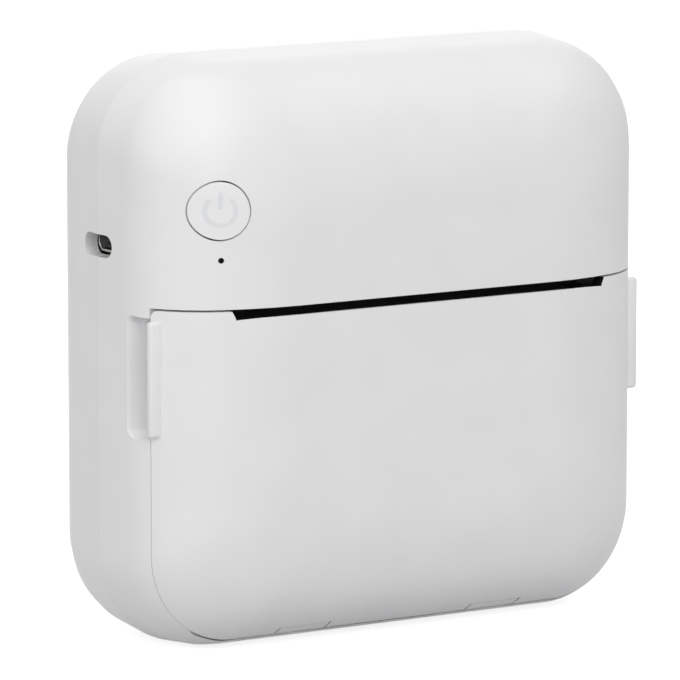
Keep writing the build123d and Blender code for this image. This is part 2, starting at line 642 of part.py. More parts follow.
# Roll bay: a curved trough with two end walls, screwed to the housing's brackets
with BuildPart() as roll_bay:
    outer = BAY_RADIUS + BAY_WALL
    rear_lip = radians(BAY_REAR_LIP_ANGLE)
    with BuildSketch(side_on(-BAY_HALF_WIDTH - BAY_WALL)) as trough:
        with Locations((BAY_DEPTH, BAY_Z)):
            Circle(outer)
            Circle(BAY_RADIUS, mode=Mode.SUBTRACT)
        with BuildLine():
            Polyline(
                (BAY_DEPTH, BAY_Z),
                (BAY_DEPTH + 30 * cos(rear_lip), BAY_Z + 30 * sin(rear_lip)),
                (BAY_DEPTH - 30, BAY_Z + 30),
                (BAY_DEPTH - 30, BAY_Z - 30),
                (9.8, BAY_Z - 30),
                (9.8, BAY_Z),
                (BAY_DEPTH, BAY_Z),
            )
        make_face(mode=Mode.SUBTRACT)
    extrude(amount=2 * (BAY_HALF_WIDTH + BAY_WALL))
    for side in (-1, 1):
        with BuildSketch(side_on(side * BAY_HALF_WIDTH)):
            with Locations((BAY_DEPTH, BAY_Z)):
                Circle(outer)
            with Locations((BAY_OPEN_TO - 10, BAY_Z)):
                Rectangle(20, 40, mode=Mode.SUBTRACT)
            with Locations((BAY_DEPTH, BAY_Z + outer)):
                Rectangle(far, 2 * BAY_END_WALL_TRIM, mode=Mode.SUBTRACT)
            # a finger scoop to lift the roll out
            with Locations((BAY_OPEN_TO, BAY_Z)):
                Circle(BAY_SCOOP_RADIUS, mode=Mode.SUBTRACT)
        extrude(amount=side * BAY_WALL)
        tab_z = (BAY_TAB_Z - BAY_TAB_HEIGHT / 2, BAY_TAB_Z + BAY_TAB_HEIGHT / 2)
        tab_depth = (BAY_TAB_DEPTH, BAY_TAB_DEPTH + BAY_TAB_THICKNESS)
        block(mirrored((BAY_HALF_WIDTH + 0.5, BAY_TAB_X + BAY_TAB_MARGIN), side), tab_depth, tab_z)
        deep_bar(side * BAY_TAB_X, (BAY_TAB_DEPTH - 1, BAY_TAB_DEPTH + 4), BAY_TAB_Z,
                 SMALL_SCREW_RADIUS + 0.15, mode=Mode.SUBTRACT)
finish(roll_bay, "roll_bay")

# Platen: rubber roller on a steel shaft that turns in two bushings
platen_gear_x = (INNER_GEARS, INNER_GEARS + INNER_GEAR_WIDTH)
gears_end = OUTER_GEARS + OUTER_GEAR_WIDTH
with BuildPart() as platen_shaft:
    shaft_x = (-FRAME_OUTER - 0.8, platen_gear_x[1] + 0.4)
    cross_bar(shaft_x, PLATEN_DEPTH, PLATEN_Z, PLATEN_SHAFT_RADIUS)
    chamfer(platen_shaft.edges().filter_by(GeomType.CIRCLE), length=0.25)
finish(platen_shaft, "platen_shaft")

with BuildPart() as platen_roller:
    cross_bar((-PLATEN_HALF_LENGTH, PLATEN_HALF_LENGTH), PLATEN_DEPTH, PLATEN_Z, PLATEN_RADIUS)
    chamfer(platen_roller.edges().filter_by(GeomType.CIRCLE), length=0.3)
    cross_bar((-PLATEN_HALF_LENGTH - 1, PLATEN_HALF_LENGTH + 1), PLATEN_DEPTH, PLATEN_Z,
              PLATEN_SHAFT_RADIUS, mode=Mode.SUBTRACT)
finish(platen_roller, "platen_roller")

with BuildPart() as platen_bushings:
    for side in (-1, 1):
        cross_bar(mirrored((EAR_INNER - 0.2, FRAME_OUTER + 0.1), side), PLATEN_DEPTH, PLATEN_Z,
                  BUSHING_RADIUS)
        cross_bar(mirrored((EAR_INNER - 1, FRAME_OUTER + 1), side), PLATEN_DEPTH, PLATEN_Z,
                  PLATEN_SHAFT_RADIUS + RUNNING_FIT, mode=Mode.SUBTRACT)
finish(platen_bushings, "platen_bushings")

# Gear places: the train runs back from the platen to the idler, the reduction gear and the motor
idler_place = (PLATEN_DEPTH + MODULE * (PLATEN_TEETH + IDLER_TEETH) / 2, PLATEN_Z)


def stepped(place, distance, direction):
    """A place at a distance from another, in a direction in degrees up from straight back."""
    return (place[0] + distance * cos(radians(direction)), place[1] + distance * sin(radians(direction)))


reduction_place = stepped(idler_place, MODULE * (IDLER_TEETH + REDUCTION_SMALL_TEETH) / 2,
                          REDUCTION_DIRECTION)
motor_place = stepped(reduction_place, MODULE * (REDUCTION_BIG_TEETH + PINION_TEETH) / 2, MOTOR_DIRECTION)


def tooth_sides(teeth):
    """Radius and half angle of a tooth from its foot to its tip, on involute flanks."""
    pitch = MODULE * teeth / 2
    base = pitch * cos(radians(PRESSURE_ANGLE))
    involute = tan(radians(PRESSURE_ANGLE)) - radians(PRESSURE_ANGLE)
    half_at_pitch = (pi * MODULE / 2 - BACKLASH) / (2 * pitch)
    sides = []
    for radius in (pitch - 1.2 * MODULE, pitch, pitch + 0.9 * MODULE):
        roll = acos(min(1.0, base / radius))
        sides.append((radius, half_at_pitch + involute - (tan(roll) - roll)))
    return sides


def gear_profile(teeth, place, first_tooth, x):
    """A gear's outline on the plane at x, with the middle of one tooth at first_tooth degrees."""
    sides = tooth_sides(teeth)
    corners = []
    for tooth in range(teeth):
        middle = radians(first_tooth) + 2 * pi * tooth / teeth
        for sign, flank in ((-1, sides), (1, sides[::-1])):
            for radius, half in flank:
                angle = middle + sign * half
                corners.append((place[0] + radius * cos(angle), place[1] + radius * sin(angle)))
    with BuildSketch(side_on(x)) as profile:
        with BuildLine():
            Polyline(*corners, close=True)
        make_face()
    return profile.sketch


def mesh_angle(driver_angle, driver_teeth, teeth, direction):
    """Where a follower's first tooth stands, so that its gap meets the driver's tooth."""
    driver_pitch = 360 / driver_teeth
    offset = ((direction - driver_angle) / driver_pitch) % 1
    own_pitch = 360 / teeth
    return direction + 180 + (offset + 0.5) * own_pitch


platen_tooth = 0.0
idler_tooth = mesh_angle(platen_tooth, PLATEN_TEETH, IDLER_TEETH, 0)
small_tooth = mesh_angle(idler_tooth, IDLER_TEETH, REDUCTION_SMALL_TEETH, REDUCTION_DIRECTION)
big_tooth = small_tooth
pinion_tooth = mesh_angle(big_tooth, REDUCTION_BIG_TEETH, PINION_TEETH, MOTOR_DIRECTION)


def bored(x, place, radius):
    """Cut a gear's bore through the current part."""
    cross_bar((x[0] - 1, x[1] + 1), place[0], place[1], radius, mode=Mode.SUBTRACT)


with BuildPart() as platen_gear:
    extrude(gear_profile(PLATEN_TEETH, (PLATEN_DEPTH, PLATEN_Z), platen_tooth, INNER_GEARS),
            amount=INNER_GEAR_WIDTH)
    bored(platen_gear_x, (PLATEN_DEPTH, PLATEN_Z), PLATEN_SHAFT_RADIUS)
finish(platen_gear, "platen_gear")

with BuildPart() as idler_gear:
    extrude(gear_profile(IDLER_TEETH, idler_place, idler_tooth, INNER_GEARS), amount=INNER_GEAR_WIDTH)
    bored(platen_gear_x, idler_place, GEAR_POST_RADIUS + RUNNING_FIT)
finish(idler_gear, "idler_gear")

with BuildPart() as reduction_gear:
    extrude(gear_profile(REDUCTION_BIG_TEETH, reduction_place, big_tooth, OUTER_GEARS),
            amount=OUTER_GEAR_WIDTH)
    extrude(gear_profile(REDUCTION_SMALL_TEETH, reduction_place, small_tooth, INNER_GEARS),
            amount=OUTER_GEARS - INNER_GEARS)
    bored((INNER_GEARS, gears_end), reduction_place, GEAR_POST_RADIUS + RUNNING_FIT)
finish(reduction_gear, "reduction_gear")

with BuildPart() as motor_pinion:
    extrude(gear_profile(PINION_TEETH, motor_place, pinion_tooth, OUTER_GEARS), amount=OUTER_GEAR_WIDTH)
    bored((OUTER_GEARS, gears_end), motor_place, MOTOR_SHAFT_RADIUS)
finish(motor_pinion, "motor_pinion")

motor_x = (FRAME_INNER - 0.4 - MOTOR_LENGTH, FRAME_INNER - 0.4)
with BuildPart() as motor_shaft:
    cross_bar((motor_x[1] - 4.0, gears_end + 0.3), *motor_place, MOTOR_SHAFT_RADIUS)
finish(motor_shaft, "motor_shaft")

with BuildPart() as gear_posts:
    cross_bar((FRAME_INNER, platen_gear_x[1] + 0.2), *idler_place, GEAR_POST_RADIUS)
    cross_bar((FRAME_INNER, gears_end + 0.3), *reduction_place, GEAR_POST_RADIUS)
finish(gear_posts, "gear_posts")

with BuildPart() as stepper_motor:
    cross_bar(motor_x, *motor_place, MOTOR_RADIUS)
    free_rim = stepper_motor.edges().filter_by(GeomType.CIRCLE).sort_by(Axis.X)[0]
    chamfer(free_rim, length=0.6)
    # mounting plate with two ears, against the frame's plate
    with BuildSketch(side_on(motor_x[1])):
        with Locations(motor_place):
            SlotOverall(2 * MOTOR_RADIUS + 4.0, 5.0, rotation=65)
            Circle(MOTOR_RADIUS - 1.0)
    extrude(amount=FRAME_INNER - motor_x[1])
    bored((motor_x[1] - 4.5, FRAME_OUTER), motor_place, MOTOR_SHAFT_RADIUS + RUNNING_FIT)
finish(stepper_motor, "stepper_motor")

# Thermal head: a ceramic strip on an aluminium plate that pivots on a rod behind the platen
nip_lean = radians(NIP_LEAN)
nip_reach = PLATEN_RADIUS + NIP_GAP
nip_place = (PLATEN_DEPTH + nip_reach * sin(nip_lean), PLATEN_Z + nip_reach * cos(nip_lean))


def on_head(along, above):
    """A place beside the nip: along runs back down the head's slope, above is away from the platen."""
    return (nip_place[0] + along * cos(nip_lean) + above * sin(nip_lean),
            nip_place[1] - along * sin(nip_lean) + above * cos(nip_lean))


def head_strip(half_width, along, above):
    """A strip across the head between two values along its slope and two above it."""
    corners = [on_head(a, b) for a, b in ((along[0], above[0]), (along[1], above[0]),
                                          (along[1], above[1]), (along[0], above[1]))]
    with BuildSketch(side_on(-half_width)) as strip:
        with BuildLine():
            Polyline(*corners, close=True)
        make_face()
    return strip.sketch


rod_place = on_head(HEAD_BEHIND, CERAMIC_THICKNESS + HEATSINK_THICKNESS / 2 + 0.4)
sink_above = (CERAMIC_THICKNESS, CERAMIC_THICKNESS + HEATSINK_THICKNESS)
with BuildPart() as print_head:
    extrude(head_strip(HEAD_HALF_WIDTH, (-HEAD_AHEAD, -HEAD_AHEAD + CERAMIC_LENGTH), (0, CERAMIC_THICKNESS)),
            amount=2 * HEAD_HALF_WIDTH)
finish(print_head, "print_head")

with BuildPart() as head_heatsink:
    extrude(head_strip(HEAD_HALF_WIDTH + 0.8, (-HEAD_AHEAD, HEAD_BEHIND - 1.6), sink_above),
            amount=2 * HEAD_HALF_WIDTH + 1.6)
    for side in (-1, 1):
        ear_span = mirrored((HEAD_HALF_WIDTH - 3.2, HEAD_HALF_WIDTH + 0.8), side)
        cross_bar(ear_span, *rod_place, HEAD_ROD_RADIUS + 1.0)
        extrude(head_strip(-ear_span[0], (HEAD_BEHIND - 3.0, HEAD_BEHIND), sink_above),
                amount=ear_span[1] - ear_span[0])
        cross_bar((ear_span[0] - 1, ear_span[1] + 1), *rod_place, HEAD_ROD_RADIUS + RUNNING_FIT,
                  mode=Mode.SUBTRACT)
finish(head_heatsink, "head_heatsink")

with BuildPart() as head_rod:
    cross_bar((-FRAME_OUTER - 0.4, FRAME_OUTER + 0.4), *rod_place, HEAD_ROD_RADIUS)
finish(head_rod, "head_rod")

# Frame: two side plates and the bars between them
frame_bottom = PLATEN_Z - BUSHING_RADIUS - 1.6
bar_z = (FRAME_TOP_Z - FRAME_BAR_THICKNESS, FRAME_TOP_Z)
bar_depth = (9.0, 19.6)
with BuildPart() as mech_frame:
    for side in (-1, 1):
        with BuildSketch(side_on(side * FRAME_INNER)):
            with BuildLine():
                rear = motor_place[0] + 4.0 if side > 0 else bar_depth[1] + 1.5
                low = reduction_place[1] - 2.6 if side > 0 else frame_bottom
                Polyline(
                    (FRAME_FRONT, frame_bottom),
                    (FRAME_FRONT, FRAME_TOP_Z),
                    (bar_depth[1], FRAME_TOP_Z),
                    (rear, FRAME_TOP_Z - 1.6),
                    (rear, low),
                    (bar_depth[1] - 3.0, low),
                    (bar_depth[1] - 6.0, frame_bottom),
                    close=True,
                )
            make_face()
            # the bushing slides into a slot that opens forwards
            with Locations((PLATEN_DEPTH, PLATEN_Z)):
                Circle(BUSHING_RADIUS + EASY_GAP, mode=Mode.SUBTRACT)
            with Locations((PLATEN_DEPTH - 5.0, PLATEN_Z)):
                Rectangle(10.0, 2 * (BUSHING_RADIUS + EASY_GAP), mode=Mode.SUBTRACT)
        extrude(amount=side * FRAME_PLATE)
        # a tab takes the screw into the housing's post
        tab_x = mirrored((FRAME_INNER, FRAME_TAB_X + 2.2), side)
        tab_z = (FRAME_TAB_Z - 1.8, FRAME_TAB_Z + 1.7)
        block(tab_x, (FRAME_TAB_DEPTH, FRAME_TAB_DEPTH + FRAME_TAB_THICKNESS), tab_z)
        deep_bar(side * FRAME_TAB_X, (FRAME_TAB_DEPTH - 1, FRAME_TAB_DEPTH + 3), FRAME_TAB_Z,
                 SMALL_SCREW_RADIUS + 0.1, mode=Mode.SUBTRACT)
        cross_bar(mirrored((FRAME_INNER - 1, FRAME_OUTER + 1), side), *rod_place, HEAD_ROD_RADIUS,
                  mode=Mode.SUBTRACT)
    block((-FRAME_INNER, FRAME_INNER), bar_depth, bar_z)
    with BuildSketch(level(bar_z[0] - 1)):
        with Locations((0, sum(bar_depth) / 2)):
            with GridLocations(19.0, 0, 3, 1):
                SlotOverall(12.0, 3.0)
    extrude(amount=4.0, mode=Mode.SUBTRACT)
    bored((FRAME_INNER, FRAME_OUTER), motor_place, MOTOR_SHAFT_RADIUS + ROOM)
    for place in (idler_place, reduction_place):
        bored((FRAME_INNER, FRAME_OUTER), place, GEAR_POST_RADIUS)
finish(mech_frame, "mech_frame")

# Leaf spring: a strip under the frame's bar with two curved fingers on the head
finger_tip = on_head(-0.6, sink_above[1])
with BuildPart() as head_spring:
    block((-24.0, 24.0), (15.6, bar_depth[1] - 0.4), (bar_z[0] - 0.3, bar_z[0]))
    for side in (-1, 1):
        with BuildSketch(side_on(side * 15.0 - 4.0)):
            with BuildLine() as finger:
                ThreePointArc((16.0, bar_z[0] - 0.2), (13.6, bar_z[0] - 0.7),
                              (finger_tip[0], finger_tip[1] + 0.15))
            trace(finger.line, line_width=0.3)
        extrude(amount=8.0)
finish(head_spring, "head_spring")

with BuildPart() as tear_bar:
    with BuildSketch(level(SLOT_HEIGHT_ON_FACE + 0.02)):
        with BuildLine():
            tooth = 1.4
            count = 40
            left = -tooth * count / 2
            zigzag = []
            for i in range(count):
                zigzag.append((left + i * tooth, 2.5))
                zigzag.append((left + (i + 0.5) * tooth, 1.8))
            Polyline(*zigzag, (-left, 2.5), (-left, 5.0), (left, 5.0), close=True)
        make_face()
    extrude(amount=0.4)
finish(tear_bar, "tear_bar")

with BuildPart() as paper_sensor:
    block((-16.4, -13.0), (21.5, 24.4), (-3.2, -1.6))
    block((-15.8, -13.6), (21.9, 24.0), (-1.6, BOARD_BOTTOM_Z))
finish(paper_sensor, "paper_sensor")

# Boards and what stands on them
with BuildPart() as main_board:
    with BuildSketch(level(BOARD_BOTTOM_Z)):
        with Locations((0, (BOARD_FRONT + BOARD_REAR) / 2)):
            RectangleRounded(2 * BOARD_HALF_WIDTH, BOARD_REAR - BOARD_FRONT, BOARD_CORNER)
    extrude(amount=BOARD_THICKNESS)
finish(main_board, "main_board")

with BuildPart() as board_parts:
    block((-20.0, -13.0), (14.0, 21.0), (BOARD_TOP_Z, BOARD_TOP_Z + 0.9))
    block((-8.0, 4.0), (11.0, 20.5), (BOARD_TOP_Z, BOARD_TOP_Z + 1.6))
    block((9.0, 14.0), (12.0, 17.0), (BOARD_TOP_Z, BOARD_TOP_Z + 1.0))
    block((18.0, 24.0), (12.0, 18.0), (BOARD_TOP_Z, BOARD_TOP_Z + 2.2))
    block((29.6, 35.6), (22.0, 26.0), (BOARD_TOP_Z, BOARD_TOP_Z + 4.2))
    block((-12.0, 12.0), (24.6, 28.0), (BOARD_BOTTOM_Z - 1.4, BOARD_BOTTOM_Z))
    for depth in (13.6, 18.4):
        with BuildSketch(level(BOARD_TOP_Z)):
            with Locations((31.6, depth)):
                Circle(2.0)
        extrude(amount=5.4)
finish(board_parts, "board_parts")

# Charging socket: a folded metal shell round a tongue, at the board's left edge
socket_half_depth = 3.75
socket_z = (BOARD_TOP_Z, BOARD_TOP_Z + 2.6)
socket_wall = side_surface(SOCKET_DEPTH - socket_half_depth) - SHELL_WALL - SOCKET_GAP
socket_x = (-socket_wall, -socket_wall + SOCKET_LENGTH)
with BuildPart() as usb_socket:
    with BuildSketch(side_on(socket_x[0])):
        with BuildLine():
            Polyline(
                (SOCKET_DEPTH - socket_half_depth, socket_z[1]),
                (SOCKET_DEPTH + socket_half_depth, socket_z[1]),
                (SOCKET_DEPTH + socket_half_depth, socket_z[0] + 0.9),
                (SOCKET_DEPTH + socket_half_depth - 0.9, socket_z[0]),
                (SOCKET_DEPTH - socket_half_depth + 0.9, socket_z[0]),
                (SOCKET_DEPTH - socket_half_depth, socket_z[0] + 0.9),
                close=True,
            )
        make_face()
        offset(amount=-0.3, mode=Mode.SUBTRACT)
    extrude(amount=socket_x[1] - socket_x[0])
    block((socket_x[1] - 0.8, socket_x[1]), (SOCKET_DEPTH - 3.6, SOCKET_DEPTH + 3.6),
          (socket_z[0] + 0.9, socket_z[1] - 0.1))
    block((socket_x[0] + 0.4, socket_x[1]), (SOCKET_DEPTH - 2.0, SOCKET_DEPTH + 2.0),
          (socket_z[0] + 0.6, socket_z[0] + 1.2))
finish(usb_socket, "usb_socket")

# Status lamp and its light guide
lamp_depth = (BOARD_FRONT - 1.2, BOARD_FRONT + 1.0)
with BuildPart() as status_lamp:
    block((BUTTON_X - 1.0, BUTTON_X + 1.0), (BOARD_FRONT - 0.2, BOARD_FRONT + 1.0),
          (BOARD_TOP_Z, BOARD_TOP_Z + 1.2))
finish(status_lamp, "status_lamp")

with BuildPart() as light_guide:
    guide_start = face_depth(BUTTON_X) + 0.5
    deep_bar(BUTTON_X, (guide_start, lamp_depth[0] - 0.1), LAMP_Z, LAMP_HOLE_RADIUS - RUNNING_FIT)
finish(light_guide, "light_guide")

# Power button: its face carries on the housing's surface, with a shallow dish
button_face = face_depth(BUTTON_X)
flange_depth = (BUTTON_GUIDE_END + 0.1, BUTTON_GUIDE_END + 0.1 + BUTTON_FLANGE_THICKNESS)
stem_end = flange_depth[1] + STEM_LENGTH
button_lean = atan2(face_depth(BUTTON_X - 1) - face_depth(BUTTON_X + 1), 2)
dish_radius = (BUTTON_RADIUS - 0.5) ** 2 / (2 * BUTTON_DISH)
with BuildPart() as power_button:
    deep_bar(BUTTON_X, (-1, flange_depth[0]), BUTTON_Z, BUTTON_RADIUS)
    add(front_outside, mode=Mode.INTERSECT)
    with Locations(spot(BUTTON_X - (dish_radius - BUTTON_DISH) * sin(button_lean),
                        button_face - (dish_radius - BUTTON_DISH) * cos(button_lean), BUTTON_Z)):
        Sphere(dish_radius, mode=Mode.SUBTRACT)
    deep_bar(BUTTON_X, flange_depth, BUTTON_Z, BUTTON_RADIUS + BUTTON_FLANGE)
    deep_bar(BUTTON_X, (flange_depth[1], stem_end), BUTTON_Z, STEM_RADIUS)
finish(power_button, "power_button")

switch_body_depth = (stem_end + 0.85, BUTTON_BOARD_DEPTH)
with BuildPart() as power_switch:
    block((BUTTON_X - 3.0, BUTTON_X + 3.0), switch_body_depth, (BUTTON_Z - 3.0, BUTTON_Z + 3.0))
    deep_bar(BUTTON_X, (switch_body_depth[0] - 1, switch_body_depth[0] + 1.6), BUTTON_Z, 1.75 + RUNNING_FIT,
             mode=Mode.SUBTRACT)
finish(power_switch, "power_switch")

with BuildPart() as switch_plunger:
    deep_bar(BUTTON_X, (stem_end + 0.05, switch_body_depth[0] + 1.1), BUTTON_Z, 1.75)
finish(switch_plunger, "switch_plunger")

with BuildPart() as button_board:
    with BuildSketch(facing(BUTTON_BOARD_DEPTH + BUTTON_BOARD_THICKNESS)):
        with Locations((BUTTON_X + 1.2, (BOARD_TOP_Z + 27.5) / 2)):
            RectangleRounded(9.0, 27.5 - BOARD_TOP_Z, 0.8)
    extrude(amount=BUTTON_BOARD_THICKNESS)
finish(button_board, "button_board")

# Battery on its tape, above the rear shell's shelf
battery_z = TRAY_Z + TRAY_THICKNESS + TAPE_THICKNESS
battery_x = (BATTERY_X - BATTERY_LENGTH / 2, BATTERY_X + BATTERY_LENGTH / 2)
battery_depth = (BATTERY_FRONT, BATTERY_FRONT + BATTERY_WIDTH)
with BuildPart() as battery:
    block(battery_x, battery_depth, (battery_z, battery_z + BATTERY_THICKNESS))
    fillet(battery.edges().filter_by(Axis.Y), radius=BATTERY_ROUNDING)
finish(battery, "battery")

with BuildPart() as battery_tape:
    tape_x = (battery_x[0] + TAPE_MARGIN, battery_x[1] - TAPE_MARGIN)
    block(tape_x, (SHELF_FRONT + 1, battery_depth[1] - 2), (battery_z - TAPE_THICKNESS, battery_z))
finish(battery_tape, "battery_tape")

# Flat cable from the head to the connector under the main board
with BuildPart() as head_cable:
    with BuildSketch(side_on(-9.0)):
        with BuildLine() as cable:
            cable_start = on_head(HEAD_BEHIND + 2.6, 1.6)
            Polyline(cable_start, (cable_start[0] + 2.6, cable_start[1]))
            ThreePointArc((cable_start[0] + 2.6, cable_start[1]), (25.4, 7.6), (26.3, 9.6))
            Line((26.3, 9.6), (26.3, BOARD_BOTTOM_Z - 1.5))
        trace(cable.line, line_width=0.24)
    extrude(amount=18.0)
finish(head_cable, "head_cable")


# Screws, identical ones in one group
def deep_screw(x, z, seat, length, radius, head_radius, head_height):
    """A pan-head screw that points forwards, its head seated at a depth."""
    deep_bar(x, (seat - length, seat), z, radius)
    deep_bar(x, (seat, seat + head_height), z, head_radius)


with BuildPart() as case_screws:
    for x, z in case_boss_places:
        deep_screw(x, z, CASE_SCREW_SEAT, CASE_SCREW_LENGTH, CASE_SCREW_RADIUS,
                   CASE_SCREW_HEAD_RADIUS, CASE_SCREW_HEAD_HEIGHT)
finish(case_screws, "case_screws")

with BuildPart() as frame_screws:
    for side in (-1, 1):
        deep_screw(side * FRAME_TAB_X, FRAME_TAB_Z, FRAME_TAB_DEPTH + FRAME_TAB_THICKNESS,
                   SMALL_SCREW_LENGTH, SMALL_SCREW_RADIUS, SMALL_SCREW_HEAD_RADIUS, SMALL_SCREW_HEAD_HEIGHT)
finish(frame_screws, "frame_screws")

with BuildPart() as bay_screws:
    for side in (-1, 1):
        deep_screw(side * BAY_TAB_X, BAY_TAB_Z, BAY_TAB_DEPTH + BAY_TAB_THICKNESS, SMALL_SCREW_LENGTH,
                   SMALL_SCREW_RADIUS, SMALL_SCREW_HEAD_RADIUS, SMALL_SCREW_HEAD_HEIGHT)
finish(bay_screws, "bay_screws")

print("idler", idler_place, "reduction", reduction_place, "motor", motor_place, "rod", rod_place)
print("motor turns per platen turn",
      (PLATEN_TEETH / REDUCTION_SMALL_TEETH) * (REDUCTION_BIG_TEETH / PINION_TEETH))
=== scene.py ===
"""Looks for a square pocket thermal printer: moulded white shells, a dished power button, a dark
paper slot and the printing mechanism behind the cover. Sizes are in millimetres and become metres
through MM. The frame comes first, and every piece rides on one of its bodies."""

from math import copysign, cos, pi, radians, sin, tan

import bmesh
import bpy
import numpy as np
from mathutils import Matrix, Vector
from mathutils.bvhtree import BVHTree


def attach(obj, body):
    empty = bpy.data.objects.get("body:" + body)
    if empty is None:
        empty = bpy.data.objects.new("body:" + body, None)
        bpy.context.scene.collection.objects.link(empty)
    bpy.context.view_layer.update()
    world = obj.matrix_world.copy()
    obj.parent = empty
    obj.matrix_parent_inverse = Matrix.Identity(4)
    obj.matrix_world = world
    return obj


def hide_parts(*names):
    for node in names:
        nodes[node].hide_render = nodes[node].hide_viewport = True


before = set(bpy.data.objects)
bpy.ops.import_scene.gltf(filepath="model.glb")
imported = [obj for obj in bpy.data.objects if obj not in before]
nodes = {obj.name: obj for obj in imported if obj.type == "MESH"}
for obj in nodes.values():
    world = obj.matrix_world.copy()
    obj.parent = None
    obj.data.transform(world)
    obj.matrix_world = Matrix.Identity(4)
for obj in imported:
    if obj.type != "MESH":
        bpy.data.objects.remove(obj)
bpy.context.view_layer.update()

MM = 0.001

# The printer's outer form, as the frame has it
WIDTH = 84.0
DEPTH = 39.5
FOOT_FLAT = 0.45
MIDDLE_Z = WIDTH / 2 - FOOT_FLAT
CORNER_RADIUS = 14.1
CORNER_SOFTENING = 0.3
CROWN_RADIUS = 33.0
CROWN_ANGLE = 20.0
EDGE_RADIUS = 13.7
FRONT_DRAFT = 5.4
REAR_RADIUS = 13.6
REAR_DRAFT = 4.5
PARTING_DEPTH = 19.9


def place(x, depth, z):
    """A point given in millimetres: x from the middle, depth from the front face, z from mid height."""
    return Vector((x, depth - DEPTH / 2, z + MIDDLE_Z)) * MM


def in_mm(points):
    """Points of the scene as x, depth and z in millimetres, the way back from place."""
    return np.array(points) / MM + np.array((0, DEPTH / 2, -MIDDLE_Z))


MIDDLE = place(0, DEPTH / 2, 0)


def in_scene(name, data):
    """A new object in the scene."""
    made = bpy.data.objects.new(name, data)
    bpy.context.scene.collection.objects.link(made)
    return made


def aim(holder, where):
    """Put a camera or lamp somewhere and turn it to the printer's middle."""
    holder.location = where
    holder.rotation_euler = (MIDDLE - Vector(where)).to_track_quat("-Z", "Y").to_euler()


# Camera: a long lens, turned and raised as the photograph's
IMAGE_SIZE = 680
CAMERA_TURN = 31.83
CAMERA_RISE = 9.01
CAMERA_DISTANCE = 856.2
PIXELS_PER_MM = 6.964
CENTRE_PIXEL_X = 353.6
CENTRE_PIXEL_Y = 332.4
SENSOR_WIDTH = 36.0
NEAREST_SEEN = 10.0


def make_camera():
    """The camera, placed by its turn, rise and distance from the printer's middle."""
    turn = radians(CAMERA_TURN)
    rise = radians(CAMERA_RISE)
    outwards = Vector((-sin(turn) * cos(rise), -cos(turn) * cos(rise), sin(rise)))
    camera = bpy.data.cameras.new("camera")
    camera.sensor_width = SENSOR_WIDTH
    camera.lens = PIXELS_PER_MM * CAMERA_DISTANCE * SENSOR_WIDTH / IMAGE_SIZE
    camera.shift_x = (IMAGE_SIZE / 2 - CENTRE_PIXEL_X) / IMAGE_SIZE
    camera.shift_y = (CENTRE_PIXEL_Y - IMAGE_SIZE / 2) / IMAGE_SIZE
    camera.clip_start = NEAREST_SEEN * MM
    holder = in_scene("camera", camera)
    aim(holder, MIDDLE + outwards * CAMERA_DISTANCE * MM)
    bpy.context.scene.camera = holder


# Colours, nodes and patterns. A colour mix has several sockets of one name, so its own go by number
MIX_FACTOR = 0
MIX_FIRST = 6
MIX_SECOND = 7
MIX_RESULT = 2
BANDS_PER_METRE = pi  # of a wave pattern with scale 1, nearly


def colour(code, alpha=1.0):
    """An sRGB hex colour as linear values."""
    parts = [int(code[i:i + 2], 16) / 255 for i in (1, 3, 5)]
    linear = [p / 12.92 if p <= 0.04045 else ((p + 0.055) / 1.055) ** 2.4 for p in parts]
    return (*linear, alpha)


def add(tree, kind, inputs=None, **settings):
    """Add a node, set its properties, and link or set its inputs. A node given as an input stands for
    its first output, and the members of a list are linked in turn."""
    made = tree.nodes.new(kind)
    for name, value in settings.items():
        setattr(made, name, value)
    for name, value in (inputs or {}).items():
        for source in value if isinstance(value, list) else [value]:
            if isinstance(source, bpy.types.Node):
                source = source.outputs[0]
            if isinstance(source, bpy.types.NodeSocket):
                tree.links.new(source, made.inputs[name])
            else:
                made.inputs[name].default_value = source
    return made


def surface(name, colour_code, roughness, **sockets):
    """A named material with its node tree, its shader and the coordinates on the piece."""
    material = bpy.data.materials.new(name)
    material.use_nodes = True
    tree = material.node_tree
    shader = tree.nodes["Principled BSDF"]
    shader.inputs["Base Color"].default_value = colour(colour_code)
    shader.inputs["Roughness"].default_value = roughness
    for socket, value in sockets.items():
        shader.inputs[socket.replace("_", " ")].default_value = value
    return material, tree, shader, add(tree, "ShaderNodeTexCoord").outputs["Object"]


def grain(tree, where, size, stretch=(1, 1, 1), detail=2.0):
    """Noise whose grains are about as large as size, in millimetres."""
    stretched = add(tree, "ShaderNodeMapping", {"Vector": where, "Scale": stretch})
    return add(tree, "ShaderNodeTexNoise",
               {"Vector": stretched, "Scale": 1 / (size * MM), "Detail": detail, "Roughness": 0.5})


def dress(tree, shader, pattern, tones=None, between=None, roughness=None, relief=None):
    """Let a pattern drive a surface: its colour from one tone to another, where asked only while the
    pattern rises between two levels, its roughness between two values, and its relief, given as a
    strength and a height in millimetres."""
    if tones:
        share = pattern
        if between:
            low, high = between
            share = add(tree, "ShaderNodeMapRange", {"Value": pattern, "From Min": low, "From Max": high},
                        interpolation_type="SMOOTHSTEP")
        first, second = (colour(code) for code in tones)
        tone = add(tree, "ShaderNodeMix", {MIX_FACTOR: share, MIX_FIRST: first, MIX_SECOND: second},
                   data_type="RGBA")
        tree.links.new(tone.outputs[MIX_RESULT], shader.inputs["Base Color"])
    if roughness:
        smooth, rough = roughness
        uneven = add(tree, "ShaderNodeMapRange", {"Value": pattern, "To Min": smooth, "To Max": rough})
        tree.links.new(uneven.outputs["Result"], shader.inputs["Roughness"])
    if relief:
        strength, height = relief
        bump = add(tree, "ShaderNodeBump", {"Height": pattern, "Strength": strength, "Distance": height * MM})
        tree.links.new(bump.outputs["Normal"], shader.inputs["Normal"])


